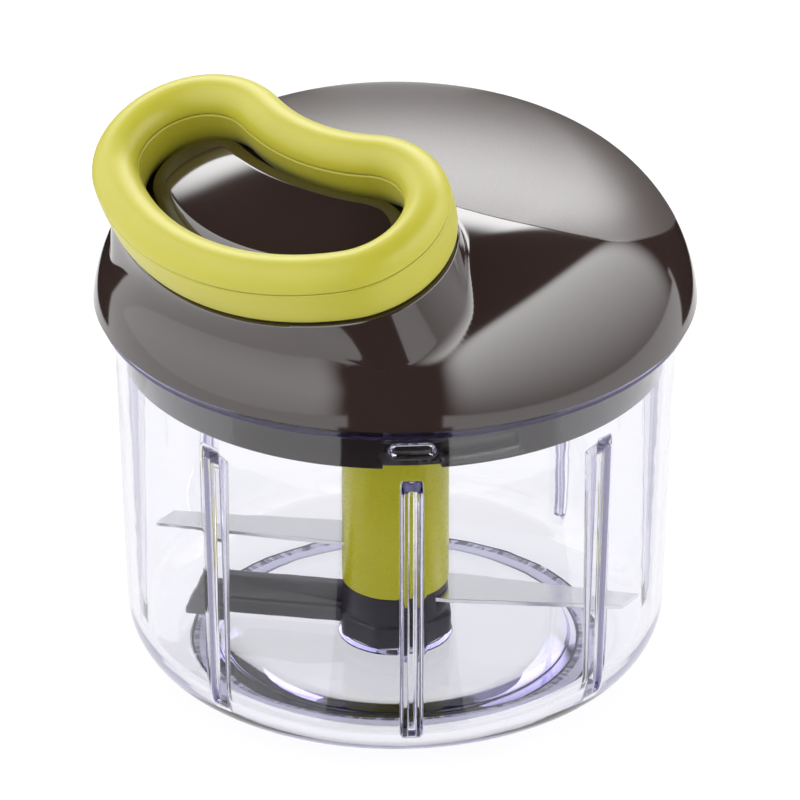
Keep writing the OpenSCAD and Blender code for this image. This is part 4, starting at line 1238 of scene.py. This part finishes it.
lower_section[:, 0] *= narrow
handle_upper = ring_half("ring_upper_half", upper_section, 50)
handle_lower = ring_half("ring_lower_half", lower_section, 50)

# %% [markdown]
# ## What is moulded into the ring
# Four screws from below hold the halves together, so each half has bosses, the lower one has wells for
# the heads, and a hole in front lets the cord in. All are round pegs, joined on or cut out in one step
# for each kind.

# %% Screw bosses and wells in the ring
RING_BOSS_R, CORD_HOLE_R = 2.4, 1.4
RING_SCREW_TURNS = (-20, 75)
RING_SCREW_SEAT = -5.5
RING_SCREW_R, RING_HEAD_R, RING_HEAD_T, RING_SCREW_RISE = 0.9, 1.6, 1.2, 3.0


def ring_screw_places():
    """Four places on the ring's round ends, in the handle's frame."""
    places = []
    for side_sign in (1, -1):
        for lobe_turn in RING_SCREW_TURNS:
            a = math.radians(lobe_turn)
            x = side_sign * (LOBE_X + LOBE_R * math.cos(a))
            places.append(np.array([x, LOBE_R * math.sin(a) - LOBE_OUT, 0]))
    return places


def pegs(name, places, radius, low, high, place_all=from_handle):
    """Plain round pegs in one mesh, to join to a piece or to cut out of it."""
    points, faces = turned([(0, low), (radius, low), (radius, high), (0, high)], 32)
    together = np.concatenate([points + place for place in places])
    shifted = [tuple(i + k * len(points) for i in face) for k in range(len(places)) for face in faces]
    return mesh_piece(name, place_all(together), shifted, LIME_RING)


ring_screws = ring_screw_places()
cut(handle_lower, pegs("bosses", ring_screws, RING_BOSS_R, -9.4, -LINE_GAP), keep="UNION")
cut(handle_lower, pegs("wells", ring_screws, RING_HEAD_R + 0.1, -12, RING_SCREW_SEAT))
cut(handle_lower, pegs("pilots", ring_screws, RING_SCREW_R, -8, 2))
cut(handle_lower, pegs("cord_hole", [np.array([0, -RING_FRONT, 0])], CORD_HOLE_R, -13, -7))
cut(handle_upper, pegs("bosses", ring_screws, RING_BOSS_R, LINE_GAP, 3.8), keep="UNION")
cut(handle_upper, pegs("pilots", ring_screws, RING_SCREW_R, -2, RING_SCREW_RISE))
for half, node in ((handle_upper, "handle_upper"), (handle_lower, "handle_lower")):
    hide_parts(node)
    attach(half, "handle")
    print(half.name, len(half.data.polygons), "faces")

# %% [markdown]
# ## Lid base
# The collar closes the lid from below, centres it in the bowl and carries the bayonet channels. It is
# a turned section, and the channels, screw seats and cup posts are cut out of it or joined to it.

# %% Lid base
COLLAR_R = 59.06
FLANGE_R, FLANGE_T = 63.6, 2.0
THROAT_R, THROAT_WALL, THROAT_TOP = 13.2, 2.4, 84.4
CHANNEL_R, CHANNEL_TOP, TRACK_LOW = 57.17, 82.05, 78.65
MOUTH = math.degrees(12.6 / COLLAR_R)
LOCK_TURN = 17.0  # degrees that the lid turns to lock
POST_TURNS, POST_AT, POST_R, CUP_Z = (90, 180, 270), 44.16, 4.0, 101.7
base_outline = [
    (THROAT_R, COLLAR_Z),
    (COLLAR_R, COLLAR_Z),
    (COLLAR_R, BOWL_TOP),
    (FLANGE_R, BOWL_TOP),
    (FLANGE_R, BOWL_TOP + FLANGE_T),
    (COLLAR_IN, BOWL_TOP + FLANGE_T),
    (COLLAR_IN, COLLAR_Z + PLATE_T),
    (THROAT_R + THROAT_WALL, COLLAR_Z + PLATE_T),
    (THROAT_R + THROAT_WALL, THROAT_TOP),
    (THROAT_R, THROAT_TOP),
]
lid_base = mesh_piece("lid_base_collar", *turned(softened(base_outline, 0.45), 192, closed=True), COLLAR)


def channel_block(start, end, low, high):
    """A block of the ring between two turns, to cut a stretch of bayonet channel."""
    turns = np.linspace(start, end, 14)
    corners = [(CHANNEL_R, low), (COLLAR_R + 2, low), (COLLAR_R + 2, high), (CHANNEL_R, high)]
    rows = [[around(t, r, z) for r, z in corners] for t in turns]
    points = np.array(rows).reshape(-1, 3)
    faces = grid_faces(len(turns), 4) + [(0, 1, 2, 3), tuple(len(points) - k for k in (1, 2, 3, 4))]
    return mesh_piece("channel", points, faces, COLLAR)


for lug_turn in (45, 135, 225, 315):
    cut(lid_base, channel_block(lug_turn - MOUTH / 2, lug_turn + MOUTH / 2, COLLAR_Z - 1, CHANNEL_TOP))
    cut(lid_base, channel_block(lug_turn, lug_turn + MOUTH / 2 + LOCK_TURN, TRACK_LOW, CHANNEL_TOP))


def as_placed(points):
    """Pegs that already stand in the whole chopper's frame."""
    return points


boss_places = [around(t, BOSS_AT) for t in BOSS_TURNS]
post_places = [around(t, POST_AT) for t in POST_TURNS]
HEAD_R, HEAD_T, SCREW_SINK = 2.8, 1.4, 1.4
cut(lid_base, pegs("posts", post_places, POST_R, COLLAR_Z + 1, CUP_Z, as_placed), keep="UNION")
cut(lid_base, pegs("pilots", post_places, SCREW_R, CUP_Z - 12, CUP_Z + 1, as_placed))
cut(lid_base, pegs("seats", boss_places, HEAD_R + 0.3, COLLAR_Z - 1, COLLAR_Z + SCREW_SINK, as_placed))
cut(lid_base, pegs("holes", boss_places, SCREW_R + 0.3, COLLAR_Z, COLLAR_Z + 4, as_placed))
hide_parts("lid_base")
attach(lid_base, "lid")

# %% [markdown]
# ## Blade shaft
# The shaft is a lime tube that hangs on the drive above and sits on the hub's spigot below. It is one
# turned outline, and the slot for the upper blade's root is cut through its wall.

# %% Blade shaft
BLADE_TURN = -58  # degrees round the axis, as the photograph shows the blades
SHAFT_R, HUB_TOP, SHAFT_TOP = 11.9, 17.5, 80.8
SPIGOT_R, SPIGOT_TOP = 9.2, 24.0
WEB_TOP, SHAFT_CORE_R, DOG_R, DOG_SEAT_Z = 31.7, 7.5, 9.82, 76.8
BLADE_T, ROOT_R = 1.0, 6.78
shaft_corners = [
    (0, SPIGOT_TOP + 0.35),
    (SPIGOT_R + 0.02, SPIGOT_TOP + 0.35),
    (SPIGOT_R + 0.02, HUB_TOP),
    (SHAFT_R, HUB_TOP),
    (SHAFT_R, SHAFT_TOP),
    (DOG_R, SHAFT_TOP),
    (DOG_R, DOG_SEAT_Z),
    (SHAFT_CORE_R, DOG_SEAT_Z),
    (SHAFT_CORE_R, WEB_TOP),
    (0, WEB_TOP),
]
shaft = mesh_piece("blade_shaft_lime", *turned(softened(shaft_corners, 0.5, closed=False), 128), LIME_SHAFT)


def plate(name, outline, low, high, material, turn=0.0, bevel=0.0):
    """A flat plate with this outline in plan, between two heights, turned round the axis."""
    count = len(outline)
    points = np.vstack([np.c_[outline, np.full(count, low)], np.c_[outline, np.full(count, high)]])
    a = math.radians(turn)
    points[:, :2] = points[:, :2] @ np.array([[math.cos(a), math.sin(a)], [-math.sin(a), math.cos(a)]])
    faces = [tuple(range(count))[::-1], tuple(range(count, 2 * count))]
    faces += [(i, (i + 1) % count, (i + 1) % count + count, i + count) for i in range(count)]
    made = mesh_piece(name, points, faces, material)
    if bevel:
        rounding = made.modifiers.new("round", "BEVEL")
        rounding.width = bevel * MM
        rounding.segments = 3
        bake_modifiers(made)
    return made


def blade_slot(name, low, half_w, turn):
    """A block to cut out for the root of a blade."""
    corners = [(-half_w, -14), (half_w, -14), (half_w, -ROOT_R), (-half_w, -ROOT_R)]
    return plate(name, corners, low, low + BLADE_T, LIME_SHAFT, turn)


UPPER_BLADE_Z, LOWER_BLADE_Z = 26.7, 15.0
cut(shaft, blade_slot("upper_slot", UPPER_BLADE_Z, 5.02, BLADE_TURN))
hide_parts("blade_shaft")
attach(shaft, "blades")

# %% [markdown]
# ## Paddle hub
# The dark hub under the shaft has an eight-sided foot, and carries the lower blade and a mixing paddle
# with a hook at its end. The foot is a turned grid whose radius is drawn in towards the middle of each
# facet, so its round upper part and its flat sides stay one mesh. The paddle is made of plates with
# bevelled edges, joined on.

# %% Paddle hub
HUB_Z, FOOT_TOP, HUB_R = 5.5, 11.0, 12.95
BUSH_R, BUSH_Z = 5.22, 8.5
FACET_HALF = math.pi / 8
hub_corners = [
    (BUSH_R - 1, HUB_Z),
    (HUB_R, HUB_Z),
    (HUB_R, FOOT_TOP - 0.9),
    (SHAFT_R - 0.1, FOOT_TOP),
    (SHAFT_R - 0.18, HUB_TOP),
    (SPIGOT_R, HUB_TOP),
    (SPIGOT_R, SPIGOT_TOP),
    (BUSH_R, SPIGOT_TOP),
    (BUSH_R, BUSH_Z),
    (BUSH_R - 1, BUSH_Z),
]
points, faces = turned(softened(hub_corners, 0.35), 160, closed=True)
foot_angle = np.arctan2(points[:, 1], points[:, 0])
to_facet = np.abs((foot_angle + FACET_HALF) % (2 * FACET_HALF) - FACET_HALF)
facet_r = np.minimum((HUB_R - 0.75) / np.cos(to_facet), HUB_R)
shrink = np.where(np.hypot(points[:, 0], points[:, 1]) > SHAFT_R + 0.05, facet_r / HUB_R, 1.0)
points[:, :2] *= shrink[:, None]
hub = mesh_piece("paddle_hub_charcoal", points, faces, CHARCOAL, crease=24)
PADDLE_R, PADDLE_T, PADDLE_Z, PADDLE_H = 47.0, 3.2, 5.85, 9.0
LEDGE_OUT, LEDGE_H = 1.6, 4.0
PADDLE_IN, PADDLE_TOE, PADDLE_LEAN = 8.5, 1.6, 3.6
tip = [(PADDLE_R, 0), (PADDLE_R, PADDLE_TOE), (PADDLE_R - PADDLE_LEAN, PADDLE_H)]
paddle_side = [(PADDLE_IN, 0), *tip, (PADDLE_IN, PADDLE_H)]
ledge_side = [(PADDLE_IN, 0.4), (PADDLE_R - 4, 0.4), (PADDLE_R - 5.4, LEDGE_H), (PADDLE_IN, LEDGE_H)]
hook_side = [(PADDLE_R - 5.5, 0), *tip, (PADDLE_R - 4.6, PADDLE_H)]


def standing_plate(name, side, middle, thickness, bevel):
    """A plate that stands along the blade's direction, drawn as distance out and height."""
    made = plate(name, side, middle - thickness / 2, middle + thickness / 2, CHARCOAL, bevel=bevel)
    upright = Matrix(((0, 0, 1, 0), (-1, 0, 0, 0), (0, 1, 0, PADDLE_Z * MM), (0, 0, 0, 1)))
    made.data.transform(Matrix.Rotation(math.radians(BLADE_TURN), 4, "Z") @ upright)
    return made


paddle = standing_plate("paddle", paddle_side, 0, PADDLE_T, 0.6)
ledge = standing_plate("ledge", ledge_side, 0, PADDLE_T + 2 * LEDGE_OUT, 0.6)
hook = standing_plate("hook", hook_side, 1.6, 2 * PADDLE_T, 0.8)
cut(hub, paddle, ledge, hook, keep="UNION")
cut(hub, blade_slot("lower_slot", LOWER_BLADE_Z, 6.02, BLADE_TURN + 180))
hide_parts("paddle_hub")
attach(hub, "blades")

# %% [markdown]
# ## Blades
# Two strips of stainless steel stand out of the shaft and the hub, opposite each other and at two
# heights. Each is stamped flat and narrows to a slanted tip, so it is a plate with that outline, with
# its edges broken by a tenth of a millimetre so that they catch the light.

# %% Blades
BLADE_TIP_Y, BLADE_TIP_W = 54.1, 6.0
BLADE_EDGE = 0.12
for name, node, low, root_w, turn in (
    ("upper_blade_strip", "upper_blade", UPPER_BLADE_Z, 10.0, BLADE_TURN),
    ("lower_blade_strip", "lower_blade", LOWER_BLADE_Z, 12.0, BLADE_TURN + 180),
):
    outline = [
        (-root_w / 2, -ROOT_R - 0.02),
        (-root_w / 2, -HUB_R - 1),
        (-BLADE_TIP_W / 2, BLADE_TIP_W / 2 - BLADE_TIP_Y),
        (BLADE_TIP_W / 2, -BLADE_TIP_Y),
        (root_w / 2, -HUB_R - 1),
        (root_w / 2, -ROOT_R - 0.02),
    ]
    strip = plate(name, outline, low, low + BLADE_T, BLADE_STEEL, turn, BLADE_EDGE)
    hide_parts(node)
    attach(strip, "blades")

# %% [markdown]
# ## Cord
# The cord is braided polyester: it winds on the drum, bends over the eyelet's lip and ends in a knot
# inside the ring. A tube follows each path in a Geometry Nodes tree, and two opposite sets of strands
# are pressed into it by moving its points along their normals.

# %% Braid tree
BRAID_STEP, BRAID_SIDES = 0.3, 20  # millimetres between rings of the tube, and points on each
STRANDS, STRAND_DEPTH, LAY = 4, 0.07, 3.2  # strands each way, their depth, and the length of one turn
FULL_TURN = 2 * math.pi
braid, given, braid_inputs = open_tree(
    "braided_cord", "Cord", Path="Geometry", Radius="Float", Lay="Float", Finish="Material"
)
line = add(braid, "GeometryNodeMeshToCurve", {"Mesh": given["Path"]})
fine = add(
    braid,
    "GeometryNodeResampleCurve",
    {"Curve": line.outputs["Curve"], "Length": BRAID_STEP * MM},
    mode="LENGTH",
)
along = add(braid, "GeometryNodeSplineParameter")
kept_along = add(braid, "GeometryNodeCaptureAttribute")
kept_along.capture_items.new("FLOAT", "Along")
braid.links.new(fine.outputs["Curve"], kept_along.inputs["Geometry"])
braid.links.new(along.outputs["Length"], kept_along.inputs["Along"])
circle = add(
    braid, "GeometryNodeCurvePrimitiveCircle", {"Radius": given["Radius"], "Resolution": BRAID_SIDES}
)
kept_round = add(braid, "GeometryNodeCaptureAttribute")
kept_round.capture_items.new("FLOAT", "Round")
braid.links.new(circle.outputs["Curve"], kept_round.inputs["Geometry"])
braid.links.new(along.outputs["Factor"], kept_round.inputs["Round"])
tube = add(
    braid,
    "GeometryNodeCurveToMesh",
    {
        "Curve": kept_along.outputs["Geometry"],
        "Profile Curve": kept_round.outputs["Geometry"],
        "Fill Caps": True,
    },
)
strand_turn = add(
    braid, "ShaderNodeMath", {0: kept_round.outputs["Round"], 1: STRANDS * FULL_TURN}, operation="MULTIPLY"
).outputs[0]
lay_turn = add(
    braid, "ShaderNodeMath", {0: kept_along.outputs["Along"], 1: given["Lay"]}, operation="DIVIDE"
).outputs[0]
lay_angle = add(braid, "ShaderNodeMath", {0: lay_turn, 1: FULL_TURN}, operation="MULTIPLY").outputs[0]
waves = []
for way in ("ADD", "SUBTRACT"):
    angle = add(braid, "ShaderNodeMath", {0: strand_turn, 1: lay_angle}, operation=way).outputs[0]
    waves.append(add(braid, "ShaderNodeMath", {0: angle}, operation="COSINE").outputs[0])
strands = add(braid, "ShaderNodeMath", {0: waves[0], 1: waves[1]}, operation="MAXIMUM").outputs[0]
pressed = add(braid, "ShaderNodeMath", {0: strands, 1: 1.0}, operation="SUBTRACT").outputs[0]
depth = add(braid, "ShaderNodeMath", {0: pressed, 1: STRAND_DEPTH * MM}, operation="MULTIPLY").outputs[0]
normal = add(braid, "GeometryNodeInputNormal").outputs["Normal"]
inward = add(braid, "ShaderNodeVectorMath", {0: normal, "Scale": depth}, operation="SCALE")
woven = add(
    braid,
    "GeometryNodeSetPosition",
    {"Geometry": tube.outputs["Mesh"], "Offset": inward.outputs["Vector"]},
)
close_tree(braid, "Cord", woven.outputs["Geometry"], given["Finish"])


def braided(name, points_mm, radius_mm, closed=False):
    """A braided cord along a path."""
    made = loop_object(name, points_mm, closed)
    step = made.modifiers.new("braid", "NODES")
    step.node_group = braid
    step[braid_inputs["Radius"]] = radius_mm * MM
    step[braid_inputs["Lay"]] = LAY * MM
    step[braid_inputs["Finish"]] = CORD
    bake_modifiers(made)
    made.data.shade_smooth()
    print(name, len(made.data.polygons), "faces")
    return made


# %% [markdown]
# ## The cord's paths
# The cord leaves the drum on a tangent, bends over the eyelet's lip on a small arc and runs straight to
# its knot in the ring. Each of these comes from the sizes of drum, eyelet and handle, so the cord meets
# them wherever they are. The winding is a coil and the knot a trefoil, the simplest closed knot. The
# cord crosses the joint of the handle.

# %% Cord paths
CORD_R, WIND_R, WIND_PITCH, WIND_TURNS = 1.0, 26.25, 2.45, 3
COIL_POINTS = 72  # on each turn
EXIT_Z, LIP_AT, KNOT_H = 97.5, 3.0, -8.5
tilt_sin, tilt_cos = math.sin(HANDLE_TILT), math.cos(HANDLE_TILT)
exit_h = (EXIT_Z - DOME_TOP - HANDLE_RISE + RING_FRONT * tilt_sin) / tilt_cos
bend_corner = from_handle([0, -RING_FRONT, exit_h])
leave_turn = math.acos(WIND_R / -bend_corner[1])
leave_point = np.array([-WIND_R * math.sin(leave_turn), -WIND_R * math.cos(leave_turn), EXIT_Z])
leave_way = np.array([math.cos(leave_turn), -math.sin(leave_turn), 0])
pull_way = np.array([0, -tilt_sin, tilt_cos])
bend_open = math.acos(-leave_way @ pull_way)
bend_leg = LIP_AT / math.tan(bend_open / 2)
bend_turn = math.pi - bend_open
bend_middle = bend_corner + (pull_way - leave_way) * bend_leg / (1 + math.cos(bend_open))
bend_from = bend_corner - leave_way * bend_leg - bend_middle
bend_to = bend_corner + pull_way * bend_leg - bend_middle
bend = [
    bend_middle + (bend_from * math.sin(bend_turn - a) + bend_to * math.sin(a)) / math.sin(bend_turn)
    for a in np.linspace(0, bend_turn, 17)
]
straight = [from_handle([0, -RING_FRONT, h]) for h in np.linspace(exit_h + bend_leg + 1, KNOT_H + 0.6, 12)]
pull_cord = braided("pull_cord_braid", [leave_point + leave_way * 2 * CORD_R] + bend + straight, CORD_R)
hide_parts("pull_cord")
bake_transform(pull_cord)
last_turn = math.atan2(leave_point[1], leave_point[0])
coil = []
for t in np.linspace(-FULL_TURN * WIND_TURNS, 0, COIL_POINTS * WIND_TURNS + 1):
    a = last_turn + t
    coil.append((WIND_R * math.cos(a), WIND_R * math.sin(a), EXIT_Z + t / FULL_TURN * WIND_PITCH))
coil = [np.array(coil[0]) - leave_way * 2 * CORD_R] + coil + [leave_point + leave_way * 2 * CORD_R]
winding = braided("cord_winding_braid", coil, CORD_R)
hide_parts("cord_winding")
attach(winding, "drum")
KNOT_SIZE, KNOT_CORD_R, KNOT_POINTS = 0.45, 0.8, 96  # drawn tight, so its cord is thinner
KNOT_LIFT = 1.35  # from the ring's inner floor to the knot's middle
knot_middle = [0, -RING_FRONT, KNOT_H + KNOT_LIFT]
knot_path = []
for t in np.linspace(0, FULL_TURN, KNOT_POINTS, endpoint=False):
    trefoil = [math.sin(t) + 2 * math.sin(2 * t), math.cos(t) - 2 * math.cos(2 * t), -math.sin(3 * t)]
    knot_path.append(from_handle(np.array(trefoil) * KNOT_SIZE + knot_middle))
knot = braided("cord_knot_braid", knot_path, KNOT_CORD_R, closed=True)
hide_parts("cord_knot")
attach(knot, "handle")

# %% [markdown]
# ## Screws
# Eleven cross-head screws hold the lid, the spring cup and the ring together. One screw of each size
# is made, and a Geometry Nodes tree sets copies of it on the points of each set.

# %% Screw sets
scatter, given, scatter_inputs = open_tree(
    "screw_set", "Screws", Places="Geometry", Screw="Object", Finish="Material"
)
one_screw = add(scatter, "GeometryNodeObjectInfo", {"Object": given["Screw"]})
copies = add(
    scatter,
    "GeometryNodeInstanceOnPoints",
    {"Points": given["Places"], "Instance": one_screw.outputs["Geometry"]},
)
close_tree(scatter, "Screws", copies.outputs["Instances"], given["Finish"])


def cross_screw(radius, head_r, head_t, length, turn):
    """A screw with the underside of its head at the origin, pointing along +Z before it is turned."""
    pitch = 0.9 * radius
    crests = int((length - 1.4) * 2 / pitch)
    shank = [(radius * (0.97 if i % 2 else 0.8), 0.6 + i * pitch / 2) for i in range(crests)]
    head_outline = [(0, -head_t), (head_r, -head_t), (head_r, 0), (radius * 0.9, 0)]
    head = softened(head_outline, 0.5 * head_t, closed=False)
    points, faces = turned(np.vstack([head, shank, [(0, length)]]), 32)
    made = mesh_piece("screw", points, faces, BRIGHT_STEEL)
    arm, thin = 0.62 * head_r, 0.13 * head_r
    for half_x, half_y in ((arm, thin), (thin, arm)):
        corners = [(-half_x, -half_y), (half_x, -half_y), (half_x, half_y), (-half_x, half_y)]
        cut(made, plate("cross", corners, -head_t - 1, -0.45 * head_t, BRIGHT_STEEL))
    made.data.transform(turn)
    return made


def screw_set(name, places, screw, body):
    """Copies of a screw on these places, as one piece that rides on a body."""
    made = loop_object(name, places, closed=False)
    step = made.modifiers.new("set", "NODES")
    step.node_group = scatter
    step[scatter_inputs["Screw"]] = screw
    step[scatter_inputs["Finish"]] = BRIGHT_STEEL
    bake_modifiers(made)
    bpy.data.objects.remove(screw)
    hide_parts(name.replace("_set", ""))
    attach(made, body)
    print(name, len(made.data.polygons), "faces")


POINTING_UP = Matrix.Identity(4)
POINTING_DOWN = Matrix.Rotation(math.pi, 4, "X")
WITH_HANDLE = Matrix.Rotation(HANDLE_TILT, 4, "X")
EAR_T, SCREW_LENGTH = 2.0, 10.0
lid_places = [p + [0, 0, COLLAR_Z + SCREW_SINK] for p in boss_places]
lid_screw = cross_screw(SCREW_R, HEAD_R, HEAD_T, SCREW_LENGTH, POINTING_UP)
screw_set("lid_screws_set", lid_places, lid_screw, "lid")
cup_places = [p + [0, 0, CUP_Z + EAR_T] for p in post_places]
cup_screw = cross_screw(SCREW_R, HEAD_R, HEAD_T, SCREW_LENGTH, POINTING_DOWN)
screw_set("cup_screws_set", cup_places, cup_screw, "lid")
ring_places = [from_handle(p + [0, 0, RING_SCREW_SEAT]) for p in ring_screws]
ring_length = RING_SCREW_RISE - RING_SCREW_SEAT
ring_screw = cross_screw(RING_SCREW_R, RING_HEAD_R, RING_HEAD_T, ring_length, WITH_HANDLE)
screw_set("handle_screws_set", ring_places, ring_screw, "handle")

# %% [markdown]
# ## Pieces that stay as they are
# Flat or plain turned metal and the hidden drive already have their right shape as solids, so they keep
# their meshes and get a material each.

# %% Materials for the kept solids
KEPT = {
    "pivot_pin": BRIGHT_STEEL,
    "pivot_bush": BRONZE,
    "drive_dog": CHARCOAL,
    "cord_eyelet": BRIGHT_STEEL,
    "spring_cup": ACETAL,
    "recoil_spring": SPRING_STEEL,
    "drum_axle": BRIGHT_STEEL,
    "axle_washer": BRIGHT_STEEL,
    "axle_clip": SPRING_STEEL,
    "cord_drum": ACETAL,
    "drive_socket": CHARCOAL,
}
for node, material in KEPT.items():
    for slot in NODES[node].material_slots:
        slot.material = material
print("kept solids:", len(KEPT))
